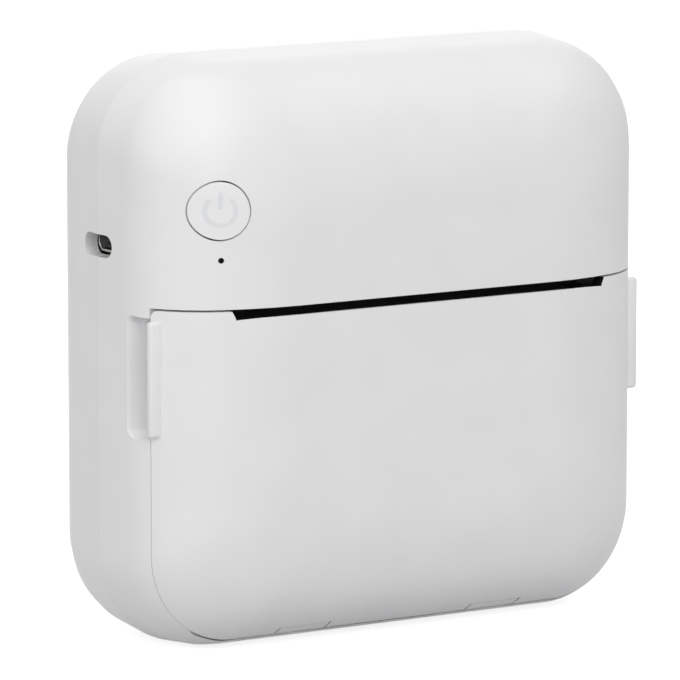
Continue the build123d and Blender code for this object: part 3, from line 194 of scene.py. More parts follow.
# Materials
def moulded_abs():
    """White ABS from a spark-eroded mould: a fine matt grain that softens the highlights."""
    material, tree, shader, where = surface("abs_white_moulded", "#ECECED", 0.46)
    cloudy = grain(tree, where, 9.0, detail=1.0)
    dress(tree, shader, cloudy, tones=("#EBEBEC", "#EDEDEE"), between=(0.3, 0.7))
    # the grain of the real mould is near 0.1 mm, too fine to show, so it is drawn at 0.3 mm
    dress(tree, shader, grain(tree, where, 0.3), roughness=(0.4, 0.54), relief=(0.12, 0.02))
    return material


def satin_abs():
    """The button's white ABS, polished finer than the case so that its dish catches the light."""
    material, tree, shader, where = surface("abs_white_satin", "#EEEEEF", 0.32)
    dress(tree, shader, grain(tree, where, 0.25), roughness=(0.27, 0.37), relief=(0.05, 0.01))
    return material


def printed_grey():
    """Pad-printed ink, a flat pale grey a little darker than the button, slightly uneven."""
    material, tree, shader, where = surface("ink_pale_grey", "#E3E4E6", 0.5)
    cover = grain(tree, where, 0.2)
    dress(tree, shader, cover, tones=("#E1E2E4", "#E5E6E8"), between=(0.35, 0.75), relief=(0.1, 0.01))
    return material


def moulded_black():
    """Black ABS of the roll bay, matt and faintly streaked by the mould's draw. It is also the painted
    shade on the walls of the paper slot and the lamp pinhole.
    """
    material, tree, shader, where = surface("abs_black_moulded", "#17181A", 0.5)
    streaks = grain(tree, where, 0.5, stretch=(0.12, 1, 1))
    dress(tree, shader, streaks, tones=("#141517", "#1F2023"), between=(0.3, 0.8))
    dress(tree, shader, grain(tree, where, 0.25), relief=(0.2, 0.02))
    return material


def pressed_steel():
    """Zinc-plated sheet: rolled lines along the width, with a soft uneven shine."""
    material, tree, shader, where = surface("steel_zinc_plated", "#B4B6B8", 0.34, Metallic=1.0)
    lines = grain(tree, where, 0.22, stretch=(0.04, 1, 1), detail=4.0)
    dress(tree, shader, lines, tones=("#A4A6A8", "#C4C6C8"), roughness=(0.26, 0.44), relief=(0.15, 0.01))
    return material


def stamped_stainless():
    """Stainless strip of the tear bar and the leaf spring, ground across its length."""
    material, tree, shader, where = surface("stainless_strip", "#C3C4C6", 0.24, Metallic=1.0)
    lines = grain(tree, where, 0.15, stretch=(1, 0.05, 1), detail=3.0)
    dress(tree, shader, lines, tones=("#B4B5B8", "#D2D3D5"), relief=(0.12, 0.008))
    return material


def ground_steel():
    """Ground silver steel: fine rings round the bar, near mirror bright."""
    material, tree, shader, where = surface("steel_ground_bar", "#CDCFD1", 0.16, Metallic=1.0)
    rings = grain(tree, where, 0.12, stretch=(1, 0.02, 0.02), detail=3.0)
    dress(tree, shader, rings, roughness=(0.1, 0.24), relief=(0.1, 0.004))
    return material


def nickel_plate():
    """Bright nickel on screws and the socket's shell, with a faint warm cloud."""
    material, tree, shader, where = surface("nickel_plated_steel", "#C9C6BF", 0.2, Metallic=1.0)
    dress(tree, shader, grain(tree, where, 0.9), tones=("#BDBAB3", "#D6D3CC"))
    dress(tree, shader, grain(tree, where, 0.15), relief=(0.08, 0.006))
    return material


def ground_rubber():
    """Silicone rubber of the platen, ground to a dull velvet."""
    material, tree, shader, where = surface("silicone_rubber_ground", "#202124", 0.72, Sheen_Weight=0.15)
    rings = grain(tree, where, 0.18, stretch=(1, 0.12, 0.12), detail=3.0)
    dress(tree, shader, rings, tones=("#1B1C1E", "#2A2B2E"), relief=(0.3, 0.02))
    return material


def natural_acetal():
    """Natural acetal of the gears: milky, waxy and a little see-through at the teeth."""
    material, tree, shader, where = surface("acetal_natural", "#E4E1D6", 0.36,
                                            Subsurface_Weight=0.15, Subsurface_Scale=0.5 * MM)
    flow = grain(tree, where, 1.6)
    dress(tree, shader, flow, tones=("#DEDBCF", "#E9E6DC"), between=(0.3, 0.7))
    dress(tree, shader, grain(tree, where, 0.2), relief=(0.06, 0.006))
    return material


def black_acetal():
    """Black acetal of the bushings and the switch's plunger, smooth and slightly greasy."""
    material, tree, shader, where = surface("acetal_black", "#1B1C1E", 0.34)
    dress(tree, shader, grain(tree, where, 0.4), roughness=(0.28, 0.44), relief=(0.06, 0.006))
    return material


def cut_brass():
    """Hobbed brass of the motor's pinion, with bright tooth marks."""
    material, tree, shader, where = surface("brass_cut", "#C9A45A", 0.26, Metallic=1.0)
    marks = grain(tree, where, 0.12, stretch=(0.1, 1, 1), detail=3.0)
    dress(tree, shader, marks, tones=("#B8924A", "#DAB76C"), relief=(0.12, 0.006))
    return material


def glazed_alumina():
    """Alumina strip of the head: cream ceramic, faintly speckled under a clear glaze."""
    material, tree, shader, where = surface("alumina_glazed", "#D9D3C4", 0.22, Coat_Weight=0.4)
    speckle = grain(tree, where, 0.2)
    dress(tree, shader, speckle, tones=("#DDD7C9", "#CFC8B7"), between=(0.45, 0.7), relief=(0.04, 0.004))
    return material


def milled_aluminium():
    """Milled aluminium of the head's back plate, with cutter lines along it."""
    material, tree, shader, where = surface("aluminium_milled", "#C8CACC", 0.32, Metallic=1.0)
    lines = grain(tree, where, 0.3, stretch=(0.03, 1, 1), detail=4.0)
    dress(tree, shader, lines, tones=("#B9BBBD", "#D6D8DA"), relief=(0.2, 0.01))
    return material


def solder_mask():
    """Green solder mask over copper: the tracks stand out as paler, slightly raised lines."""
    material, tree, shader, where = surface("solder_mask_green", "#0E5A35", 0.3)
    track_pitch = 1.4
    patch_size = 6.0
    patch_turn = radians(45)
    lines = add(tree, "ShaderNodeTexWave",
                {"Vector": where, "Scale": 1 / (track_pitch * MM * BANDS_PER_METRE)},
                wave_type="BANDS", bands_direction="Y").outputs["Fac"]
    turned_round = add(tree, "ShaderNodeMapping", {"Vector": where, "Rotation": (0, 0, patch_turn)})
    patches = add(tree, "ShaderNodeTexVoronoi", {"Vector": turned_round, "Scale": 1 / (patch_size * MM)},
                  feature="F1", distance="CHEBYCHEV")
    stepped = [add(tree, "ShaderNodeMapRange", {"Value": pattern, "From Min": low, "From Max": high},
                   interpolation_type="SMOOTHSTEP")
               for pattern, low, high in ((lines, 0.6, 0.8), (patches, 0.3, 0.34))]
    tracks = add(tree, "ShaderNodeMath", dict(enumerate(stepped)), operation="MULTIPLY")
    dress(tree, shader, tracks, tones=("#0D5230", "#18764A"), relief=(0.4, 0.03))
    return material


def moulded_epoxy():
    """Black epoxy of chips and connectors, with the fine sparkle of its filler. It is also the socket's
    tongue, and painted shade on the inner walls of the socket's shell.
    """
    material, tree, shader, where = surface("epoxy_black", "#202124", 0.48)
    filler = grain(tree, where, 0.15)
    dress(tree, shader, filler, tones=("#1C1D1F", "#34363A"), between=(0.4, 0.75), relief=(0.15, 0.008))
    return material


def drawn_can():
    """Nickel-plated drawn steel of the motor's can, with draw lines along it."""
    material, tree, shader, where = surface("steel_drawn_can", "#B7B8BA", 0.28, Metallic=1.0)
    lines = grain(tree, where, 0.3, stretch=(0.06, 1, 1), detail=3.0)
    dress(tree, shader, lines, tones=("#A9AAAD", "#C6C7C9"), relief=(0.1, 0.008))
    return material


def clear_resin(name, code, clearness):
    """Cast resin of the lamp and its smoked light guide, glossy with a soft inner haze."""
    material, tree, shader, where = surface(name, code, 0.14, IOR=1.49, Transmission_Weight=clearness)
    dress(tree, shader, grain(tree, where, 0.5), roughness=(0.1, 0.22), relief=(0.03, 0.004))
    return material


def laminated_foil():
    """Aluminium laminate of the pouch cell, softly wrinkled."""
    material, tree, shader, where = surface("foil_laminate", "#B9BBBE", 0.33, Metallic=0.85)
    wrinkles = grain(tree, where, 5.0, stretch=(1, 1.8, 1), detail=3.0)
    dress(tree, shader, wrinkles, tones=("#AEB0B3", "#C6C8CB"), relief=(0.35, 0.15))
    return material


def foam_strip():
    """Adhesive foam tape: open cells at the cut edge."""
    material, tree, shader, where = surface("foam_tape", "#CFCBC0", 0.85)
    cell_size = 0.35
    cells = add(tree, "ShaderNodeTexVoronoi", {"Vector": where, "Scale": 1 / (cell_size * MM)})
    dress(tree, shader, cells, tones=("#C2BEB2", "#DAD6CB"), relief=(0.5, 0.05))
    return material


def polyimide_film():
    """Polyimide flat cable: amber film over copper strips that run along it."""
    material, tree, shader, where = surface("polyimide_film", "#B5651D", 0.26)
    strip_pitch = 0.8
    strips = add(tree, "ShaderNodeTexWave",
                 {"Vector": where, "Scale": 1 / (strip_pitch * MM * BANDS_PER_METRE)},
                 wave_type="BANDS", bands_direction="X").outputs["Fac"]
    dress(tree, shader, strips, tones=("#8F4A12", "#C9792C"), between=(0.35, 0.65), relief=(0.15, 0.01))
    return material


white_abs = moulded_abs()
button_abs = satin_abs()
grey_ink = printed_grey()
black_abs = moulded_black()
sheet_steel = pressed_steel()
stainless = stamped_stainless()
bar_steel = ground_steel()
nickel = nickel_plate()
rubber = ground_rubber()
gear_acetal = natural_acetal()
bushing_acetal = black_acetal()
brass = cut_brass()
alumina = glazed_alumina()
aluminium = milled_aluminium()
board_green = solder_mask()
epoxy = moulded_epoxy()
motor_steel = drawn_can()
lamp_resin = clear_resin("resin_lamp", "#E9E6D8", 0.55)
guide_acrylic = clear_resin("acrylic_smoked_light_guide", "#1C1D1F", 0.1)
pouch_foil = laminated_foil()
foam = foam_strip()
cable_film = polyimide_film()

FINISHES = {
    "main_housing": white_abs, "rear_shell": white_abs, "front_cover": white_abs,
    "power_button": button_abs, "roll_bay": black_abs, "mech_frame": sheet_steel,
    "tear_bar": stainless, "head_spring": stainless, "platen_shaft": bar_steel, "head_rod": bar_steel,
    "hinge_pins": bar_steel, "gear_posts": bar_steel, "motor_shaft": bar_steel,
    "case_screws": nickel, "frame_screws": nickel, "bay_screws": nickel, "platen_roller": rubber,
    "platen_bushings": bushing_acetal, "platen_gear": gear_acetal, "idler_gear": gear_acetal,
    "reduction_gear": gear_acetal, "motor_pinion": brass, "stepper_motor": motor_steel,
    "print_head": alumina, "head_heatsink": aluminium, "main_board": board_green,
    "button_board": board_green, "board_parts": epoxy, "paper_sensor": epoxy, "power_switch": nickel,
    "switch_plunger": bushing_acetal, "usb_socket": nickel, "status_lamp": lamp_resin,
    "light_guide": guide_acrylic, "battery": pouch_foil, "battery_tape": foam, "head_cable": cable_film,
}
for node_name, finish in FINISHES.items():
    nodes[node_name].data.materials.clear()
    nodes[node_name].data.materials.append(finish)


# Pieces
SMOOTH_TO = radians(32)
MERGE_WITHIN = 0.0005


def as_piece(name, mesh, body, slot, *stands_for):
    """Turn a finished mesh into a piece of the printer that rides on a body."""
    mesh.name = name
    piece = in_scene(name, mesh)
    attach(piece, body)
    if stands_for:
        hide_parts(*stands_for)


def softly_shaded(mesh):
    """Shade smoothly, apart from edges that turn sharply."""
    mesh.shade_smooth()
    mesh.set_sharp_from_angle(angle=SMOOTH_TO)
    return mesh


def merged_copy(node_name):
    """A copy of a frame node's mesh with its loose triangles joined up."""
    mesh = nodes[node_name].data.copy()
    work = bmesh.new()
    work.from_mesh(mesh)
    bmesh.ops.remove_doubles(work, verts=work.verts, dist=MERGE_WITHIN * MM)
    work.to_mesh(mesh)
    work.free()
    return mesh


def finished(name, work, *finishes):
    """Turn closed forms into a plain softly shaded mesh with its materials."""
    bmesh.ops.recalc_face_normals(work, faces=work.faces)
    mesh = bpy.data.meshes.new(name)
    work.to_mesh(mesh)
    work.free()
    for finish in finishes:
        mesh.materials.append(finish)
    return softly_shaded(mesh)


def skin(work, rings):
    """Join each ring of vertices to the next by faces, and close both ends."""
    for first, second in zip(rings, rings[1:]):
        for a in range(len(first)):
            b = (a + 1) % len(first)
            work.faces.new((first[a], first[b], second[b], second[a]))
    work.faces.new(rings[0])
    work.faces.new(rings[-1])


def rounded_block(work, x, depth, z, rounding, segments=3):
    """Add a block between low and high values, with all its edges rounded."""
    made = bmesh.ops.create_cube(work, size=1.0)["verts"]
    low = place(x[0], depth[0], z[0])
    high = place(x[1], depth[1], z[1])
    for vert in made:
        vert.co = Vector([low[i] + (vert.co[i] + 0.5) * (high[i] - low[i]) for i in range(3)])
    edges = {edge for vert in made for edge in vert.link_edges}
    bmesh.ops.bevel(work, geom=list(edges), offset=rounding * MM, segments=segments, profile=0.5,
                    affect="EDGES", clamp_overlap=True)


def cut_away(mesh, cutter_mesh):
    """The mesh with the cutter's space taken out."""
    whole = in_scene("whole", mesh)
    cutter = in_scene("cutter", cutter_mesh)
    cut = whole.modifiers.new("cut", "BOOLEAN")
    cut.object = cutter
    cut.operation = "DIFFERENCE"
    cut.solver = "EXACT"
    graph = bpy.context.evaluated_depsgraph_get()
    result = bpy.data.meshes.new_from_object(whole.evaluated_get(graph))
    for helper in (whole, cutter):
        bpy.data.objects.remove(helper)
    return result


def painted(mesh, main, second, chosen):
    """Give a mesh its main finish, and a second one to the faces that a rule chooses."""
    mesh.materials.clear()
    mesh.materials.append(main)
    mesh.materials.append(second)
    for face in mesh.polygons:
        face.material_index = int(chosen(face))
    return mesh


# The moulded shells: the frame's narrow facets take the normals of the true rounded form
CROWN_TURN = radians(CROWN_ANGLE)
EDGE_CENTRE_OUT = (CROWN_RADIUS - EDGE_RADIUS) * sin(CROWN_TURN)
EDGE_CENTRE_DEPTH = CROWN_RADIUS - (CROWN_RADIUS - EDGE_RADIUS) * cos(CROWN_TURN)
FRONT_STEEPEST = radians(90 - FRONT_DRAFT)
REAR_STEEPEST = radians(90 - REAR_DRAFT)
FRONT_SIDE_INSET = ((PARTING_DEPTH - EDGE_CENTRE_DEPTH + EDGE_RADIUS * cos(FRONT_STEEPEST))
                    * tan(radians(FRONT_DRAFT)))
FRONT_REACH = EDGE_CENTRE_OUT + EDGE_RADIUS * sin(FRONT_STEEPEST) + FRONT_SIDE_INSET
REAR_SIDE_INSET = ((DEPTH - REAR_RADIUS + REAR_RADIUS * cos(REAR_STEEPEST) - PARTING_DEPTH)
                   * tan(radians(REAR_DRAFT)))
REAR_REACH = REAR_RADIUS * sin(REAR_STEEPEST) + REAR_SIDE_INSET
HALVINGS = 26
TINY = 1e-9
ON_THE_FORM = 0.12  # a vertex may be this far off it and still lie on it
SAME_WAY = 0.9  # as the cosine of the angle between a face and the form


def contour_through(x, z, side_inset):
    """The inset of the outline that passes through each point, and how the outline faces there."""
    low = np.zeros_like(x)
    high = np.full_like(x, WIDTH / 2)
    for _ in range(HALVINGS):
        inset = (low + high) / 2
        beyond_side = np.maximum(0, inset - side_inset)
        corner = CORNER_RADIUS - np.minimum(inset, side_inset) - CORNER_SOFTENING * beyond_side
        centre = WIDTH / 2 - inset - corner
        over_x = np.abs(x) - centre
        over_z = np.abs(z) - centre
        outwards = np.hypot(np.maximum(over_x, 0), np.maximum(over_z, 0))
        inside = outwards + np.minimum(np.maximum(over_x, over_z), 0) < corner
        low = np.where(inside, inset, low)
        high = np.where(inside, high, inset)
    length = np.maximum(outwards, TINY)
    face_x = np.maximum(over_x, 0) / length * np.sign(x)
    face_z = np.maximum(over_z, 0) / length * np.sign(z)
    around_corner = (1 - CORNER_SOFTENING) * (np.abs(face_x) + np.abs(face_z)) + CORNER_SOFTENING
    speed = np.where(inset > side_inset, around_corner, 1.0)
    return inset, face_x, face_z, speed


def true_form(points, front):
    """The true form's normal at each point, and how far the point is from the form, in millimetres."""
    x, depth, z = points.T
    if front:
        inset, face_x, face_z, speed = contour_through(x, z, FRONT_SIDE_INSET)
        out = FRONT_REACH - inset
        lean = np.arctan2(out, CROWN_RADIUS - depth)
        edge_lean = np.arctan2(out - EDGE_CENTRE_OUT, EDGE_CENTRE_DEPTH - depth)
        off_crown = np.hypot(out, CROWN_RADIUS - depth) - CROWN_RADIUS
        off_edge = np.hypot(out - EDGE_CENTRE_OUT, EDGE_CENTRE_DEPTH - depth) - EDGE_RADIUS
        off = np.where(lean <= CROWN_TURN, off_crown, off_edge)
        lean = np.where(lean <= CROWN_TURN, lean, edge_lean)
        steepest, draft, flat_off, away = FRONT_STEEPEST, radians(FRONT_DRAFT), depth, -1
        along = PARTING_DEPTH - depth
    else:
        inset, face_x, face_z, speed = contour_through(x, z, REAR_SIDE_INSET)
        out = REAR_REACH - inset
        lean = np.arctan2(out, depth - DEPTH + REAR_RADIUS)
        off = np.hypot(out, depth - DEPTH + REAR_RADIUS) - REAR_RADIUS
        steepest, draft, flat_off, away = REAR_STEEPEST, radians(REAR_DRAFT), depth - DEPTH, 1
        along = depth - PARTING_DEPTH
    off = np.where(lean > steepest, (along * tan(draft) - inset) * cos(draft), off)
    lean = np.minimum(lean, steepest)
    off = np.where(out <= 0, flat_off, off)
    lean = np.where(out <= 0, 0, lean)
    normals = np.stack([face_x * np.sin(lean) / speed, away * np.cos(lean), face_z * np.sin(lean) / speed], 1)
    return normals / np.linalg.norm(normals, axis=1, keepdims=True), off


def form_shaded(mesh, front):
    """Give a shell's outer faces the normals of the true form, and keep its other faces crisp."""
    softly_shaded(mesh)
    flat = np.empty(len(mesh.vertices) * 3)
    mesh.vertices.foreach_get("co", flat)
    normals, off = true_form(in_mm(flat.reshape(-1, 3)), front)
    on_form = np.abs(off) < ON_THE_FORM
    outer = set()
    for face in mesh.polygons:
        corners = list(face.vertices)
        expected = normals[corners].mean(axis=0)
        if on_form[corners].all() and np.dot(np.array(face.normal), expected) > SAME_WAY:
            outer.add(face.index)
    faces_of_edge = {}
    for face in mesh.polygons:
        for key in face.edge_keys:
            faces_of_edge.setdefault(key, []).append(face.index in outer)
    for edge in mesh.edges:
        if len(set(faces_of_edge.get(edge.key, [0]))) > 1:
            edge.use_edge_sharp = True
    shading = [Vector(corner.vector) for corner in mesh.corner_normals]
    for index in outer:
        for loop in mesh.polygons[index].loop_indices:
            shading[loop] = Vector(normals[mesh.loops[loop].vertex_index])
    mesh.normals_split_custom_set(shading)
    return mesh


# The power button, with the common power sign printed on its dish
BUTTON_X = -32.5
BUTTON_Z = 22.0
SIGN_RADIUS = 2.05
SIGN_STROKE = 0.62
SIGN_GAP = 48.0  # degrees to each side of the top
SIGN_BAR_TOP = 2.3
SIGN_BAR_FOOT = 0.5
SIGN_PROUD = 0.02
SIGN_SUNK = 0.03
SIGN_STEPS = 40
BAR_STEPS = 6
STROKE_END_STEPS = 6
LOOK_FROM_DEPTH = -5.0


def face_depth(surface_tree, x, z):
    """How deep the first surface is that a straight look from the front meets."""
    hit = surface_tree.ray_cast(place(x, LOOK_FROM_DEPTH, z), Vector((0, 1, 0)))[0]
    return in_mm(hit)[1]


def stroke(work, path, surface_tree):
    """A round-ended stroke along a path, as a thin layer that follows the button's dish."""
    rows = []
    last = len(path) - 1
    for index, spot in enumerate(path):
        along = (path[min(index + 1, last)] - path[max(index - 1, 0)]).normalized()
        across = Vector((-along.y, along.x))
        first_turn = 1 - STROKE_END_STEPS if index == 0 else 0
        last_turn = STROKE_END_STEPS - 1 if index == last else 0
        for turn in range(first_turn, last_turn + 1):
            angle = pi / 2 * turn / STROKE_END_STEPS
            middle = spot + along * SIGN_STROKE / 2 * sin(angle)
            half = SIGN_STROKE / 2 * cos(angle)
            row = []
            for side, deeper in ((1, SIGN_SUNK), (1, -SIGN_PROUD), (-1, -SIGN_PROUD), (-1, SIGN_SUNK)):
                x, z = middle + across * half * side
                row.append(work.verts.new(place(x, face_depth(surface_tree, x, z) + deeper, z)))
            rows.append(row)
    skin(work, rows)


def power_sign():
    """An arc open at the top and an upright bar in the gap, as a thin layer of ink on the button."""
    button = bmesh.new()
    button.from_mesh(nodes["power_button"].data)
    surface_tree = BVHTree.FromBMesh(button)
    button.free()
    middle = Vector((BUTTON_X, BUTTON_Z))
    arc = []
    for step in range(SIGN_STEPS + 1):
        angle = radians(90 + SIGN_GAP + (360 - 2 * SIGN_GAP) * step / SIGN_STEPS)
        arc.append(middle + SIGN_RADIUS * Vector((cos(angle), sin(angle))))
    bar = []
    for step in range(BAR_STEPS + 1):
        height = SIGN_BAR_FOOT + (SIGN_BAR_TOP - SIGN_BAR_FOOT) * step / BAR_STEPS
        bar.append(middle + Vector((0, height)))
    work = bmesh.new()
    stroke(work, arc, surface_tree)
    stroke(work, bar, surface_tree)
    return finished("power_sign", work, grey_ink)


# The front cover: slim round-ended pull tabs at its seam, and black painted shade inside the paper slot
EDGE_FACETS = 6
TAB_MIDDLE = -1.75
TAB_HALF_LENGTH = 8.15
TAB_THICKNESS = 1.25
TAB_OUTER = 40.87
TAB_ROOT = 39.0
TAB_ROUNDING = 0.5
ROUGH_TAB_DEPTHS = (2.0, 11.0)
ROUGH_TAB_OFF_SURFACE = 0.02
ROUGH_TAB_BEYOND = 0.3
ROUGH_TAB_OUTER = WIDTH / 2 + 1
COVER_REAR = 8.49
SEAM_CLOSED_BY = 0.17
SLOT_HALF = 31.05
SLOT_FRONT_RIM = 0.55
SLOT_TOP = 7.95
SLOT_LOWEST = 4.6
FACING = 0.5  # a face looks along an axis when its normal has more than this of it
RIM_TOLERANCE = 0.01


def facet_line():
    """The rounded edge's facets at mid height, as places (x, depth)."""
    line = []
    for step in range(EDGE_FACETS + 1):
        lean = CROWN_TURN + (FRONT_STEEPEST - CROWN_TURN) * step / EDGE_FACETS
        out = EDGE_CENTRE_OUT + EDGE_RADIUS * sin(lean)
        line.append((WIDTH / 2 - FRONT_REACH + out, EDGE_CENTRE_DEPTH - EDGE_RADIUS * cos(lean)))
    return line


def rough_tab_space():
    """The space outside the cover's surface that the frame's thick tabs take."""
    nearest, deepest = ROUGH_TAB_DEPTHS
    outline = [(x + ROUGH_TAB_OFF_SURFACE, depth) for x, depth in facet_line() if nearest < depth < deepest]
    outline += [(ROUGH_TAB_OUTER, outline[-1][1]), (ROUGH_TAB_OUTER, outline[0][1])]
    reach = TAB_HALF_LENGTH + ROUGH_TAB_BEYOND
    work = bmesh.new()
    for side in (-1, 1):
        skin(work, [[work.verts.new(place(side * x, depth, z)) for x, depth in outline]
                    for z in (TAB_MIDDLE - reach, TAB_MIDDLE + reach)])
    return finished("rough_tab_space", work)


def moved_rim(mesh, rim_depth, new_depth):
    """Move a shell's rim in depth, the part of it that lies on the true form along that form."""
    for vert in mesh.vertices:
        spot = in_mm(vert.co)
        if abs(spot[1] - rim_depth) < RIM_TOLERANCE:
            normals, off = true_form(spot[None], True)
            normal = normals[0]
            across = normal * (1, 0, 1)
            steepness = across @ across
            step = np.array([0, new_depth - rim_depth, 0])
            if abs(off[0]) < ON_THE_FORM and steepness > 0:
                step = step - across * (normal @ step) / steepness
            x, depth, z = spot + step
            vert.co = place(x, depth, max(z, -MIDDLE_Z))


def slot_wall_in_painted_shade(face):
    """Whether a face of the cover is a wall inside the paper slot, which is painted black as shade."""
    x, depth, z = in_mm(face.center)
    inside = abs(x) < SLOT_HALF and depth > SLOT_FRONT_RIM and SLOT_LOWEST < z < SLOT_TOP
    return inside and abs(face.normal.y) < FACING and face.normal.z > -FACING


def slim_cover():
    """The front cover's mesh without its thick tabs, close to the housing, with black painted shade in its
    slot.
    """
    mesh = cut_away(merged_copy("front_cover"), rough_tab_space())
    moved_rim(mesh, COVER_REAR, COVER_REAR + SEAM_CLOSED_BY)
    # the white walls inside the slot are painted black, as painted shade
    return painted(mesh, white_abs, black_abs, slot_wall_in_painted_shade)


def pull_tabs():
    """Two slim ribs along the seam, rounded all over, that a finger pulls in the recess."""
    deep = (COVER_REAR - TAB_THICKNESS, COVER_REAR)
    along = (TAB_MIDDLE - TAB_HALF_LENGTH, TAB_MIDDLE + TAB_HALF_LENGTH)
    work = bmesh.new()
    for side in (-1, 1):
        across = sorted((side * TAB_ROOT, side * TAB_OUTER))
        rounded_block(work, across, deep, along, TAB_ROUNDING, segments=4)
    return finished("pull_tabs", work, white_abs)


# The housing: slanted rims to the finger recesses, black painted shade in the lamp pinhole and a hair-thin
# parting line
RECESS_FRONT = 6.8
RECESS_REAR = 12.7
RECESS_CORNER = 1.2
RECESS_HALF_LENGTH = 8.5
RECESS_RIM_INNER = 40.7
RECESS_RIM_OUTER = 42.2
RECESS_RIM_WIDTH = 0.75
RECESS_RIM_STEPS = 24
LAMP_Z = 15.1
PINHOLE_REACH = 0.5
HOUSING_REAR = 19.78
PARTING_LINE = 0.03


def recess_rim_space():
    """The space that slants back the mouths of the two finger recesses."""
    middle_depth = (RECESS_FRONT + RECESS_REAR) / 2
    half_depth = (RECESS_REAR - RECESS_FRONT) / 2 - RECESS_CORNER
    half_length = RECESS_HALF_LENGTH - RECESS_CORNER
    narrow = (RECESS_RIM_INNER, RECESS_CORNER)
    wide = (RECESS_RIM_OUTER, RECESS_CORNER + RECESS_RIM_WIDTH)
    work = bmesh.new()
    for side in (-1, 1):
        rings = []
        for x, radius in (narrow, wide):
            ring = []
            for step in range(RECESS_RIM_STEPS):
                angle = 2 * pi * (step + 0.5) / RECESS_RIM_STEPS
                depth = middle_depth + copysign(half_depth, cos(angle)) + radius * cos(angle)
                z = TAB_MIDDLE + copysign(half_length, sin(angle)) + radius * sin(angle)
                ring.append(work.verts.new(place(side * x, depth, z)))
            rings.append(ring)
        skin(work, rings)
    return finished("recess_rim_space", work)


def pinhole_wall_in_painted_shade(face):
    """Whether a face of the housing is the wall of the lamp's pinhole, which is painted black as shade."""
    x, _, z = in_mm(face.center)
    from_axis = ((x - BUTTON_X) ** 2 + (z - LAMP_Z) ** 2) ** 0.5
    return from_axis < PINHOLE_REACH and abs(face.normal.y) < FACING


def close_fitting_housing():
    """The housing's mesh with slanted recess rims and black painted shade in its pinhole, its rear rim
    moved back so that the parting line is a hair's width."""
    mesh = cut_away(merged_copy("main_housing"), recess_rim_space())
    moved_rim(mesh, HOUSING_REAR, PARTING_DEPTH - PARTING_LINE)
    # the white walls of the pinhole are painted black, as painted shade
    return painted(mesh, white_abs, black_abs, pinhole_wall_in_painted_shade)


as_piece("main_housing_moulding", form_shaded(close_fitting_housing(), True), "body", "case_plastic",
         "main_housing")
as_piece("rear_shell_moulding", form_shaded(merged_copy("rear_shell"), False), "body", "case_plastic",
         "rear_shell")
as_piece("front_cover_moulding", form_shaded(slim_cover(), True), "cover", "case_plastic", "front_cover")
as_piece("pull_tabs", pull_tabs(), "cover", "case_plastic", "front_cover")
as_piece("power_button_cap", form_shaded(merged_copy("power_button"), True), "button", "button_plastic",
         "power_button")
as_piece("power_sign", power_sign(), "button", "button_plastic", "power_button")


# Parts on the main board, inside the space that the frame gives them, their heights over its top
BOARD_TOP = 14.5
CHIPS = (
    # middle x, middle depth, size over the legs, height
    (-16.5, 17.5, 7.0, 0.9),
    (11.5, 14.5, 5.0, 1.0),
)
CHIP_LIFT = 0.1
CHIP_ROUNDING = 0.12
LEG_PITCH = 0.8
LEG_WIDTH = 0.35
LEG_THICKNESS = 0.15
LEG_REACH = 0.8
LEG_KNEE = 0.3
LEG_FOOT = 0.5
LEG_SLANT = 0.1
BLACK_BLOCKS = (
    # across, depth, height: the battery connector's base and its three walls
    ((29.6, 35.6), (22.0, 26.0), (0.0, 1.2)),
    ((29.6, 30.3), (22.0, 26.0), (1.0, 4.2)),
    ((34.9, 35.6), (22.0, 26.0), (1.0, 4.2)),
    ((30.0, 35.2), (25.3, 26.0), (1.0, 4.2)),
    # the ribbon connector under the board, and its latch bar
    ((-12.0, 12.0), (25.4, 28.0), (-2.6, -1.2)),
    ((-11.2, 11.2), (24.6, 25.7), (-2.3, -1.5)),
)
BLACK_ROUNDING = 0.15
METAL_BLOCKS = (
    # across, depth, height, rounding: the radio module's shielding can, and the battery connector's pins
    ((-7.6, 3.6), (11.4, 17.6), (0.5, 1.6), 0.2),
    ((31.3, 31.9), (23.6, 24.2), (1.1, 3.6), 0.1),
    ((33.3, 33.9), (23.6, 24.2), (1.1, 3.6), 0.1),
)
RADIO_BASE = ((-8.0, 4.0), (11.0, 20.5), (0.0, 0.6))
RADIO_ROUNDING = 0.08
CAPACITOR_PLACES = ((31.6, 13.6), (31.6, 18.4))
CAPACITOR_OUTLINE = (
    # radius, height
    (1.9, 0.0), (2.0, 0.3), (2.0, 0.7), (1.8, 0.9), (1.8, 1.1), (2.0, 1.3), (2.0, 5.0), (1.8, 5.3),
    (1.3, 5.4), (1.2, 5.25), (0.0, 5.25),
)
COIL_PLACE = (21.0, 15.0)
COIL_OUTLINE = (
    # radius, height
    (2.9, 0.0), (2.9, 0.4), (2.0, 0.6), (2.0, 1.7), (2.9, 1.9), (2.9, 2.1), (2.7, 2.2), (0.0, 2.2),
)
TURNED_STEPS = 36


def on_board(work, across, depth, height, rounding, segments=3):
    """A rounded block whose height is measured from the board's top."""
    low, high = height
    rounded_block(work, across, depth, (BOARD_TOP + low, BOARD_TOP + high), rounding, segments)


def turned(work, outline, x, depth):
    """Turn an outline of radius and height, which ends on the axis, round an upright on the board."""
    rings = []
    for radius, height in outline:
        ring = []
        for step in range(TURNED_STEPS):
            angle = 2 * pi * step / TURNED_STEPS
            spot = place(x + radius * cos(angle), depth + radius * sin(angle), BOARD_TOP + height)
            ring.append(work.verts.new(spot))
        rings.append(ring)
    skin(work, rings)
    bmesh.ops.remove_doubles(work, verts=rings[-1], dist=MERGE_WITHIN * MM)


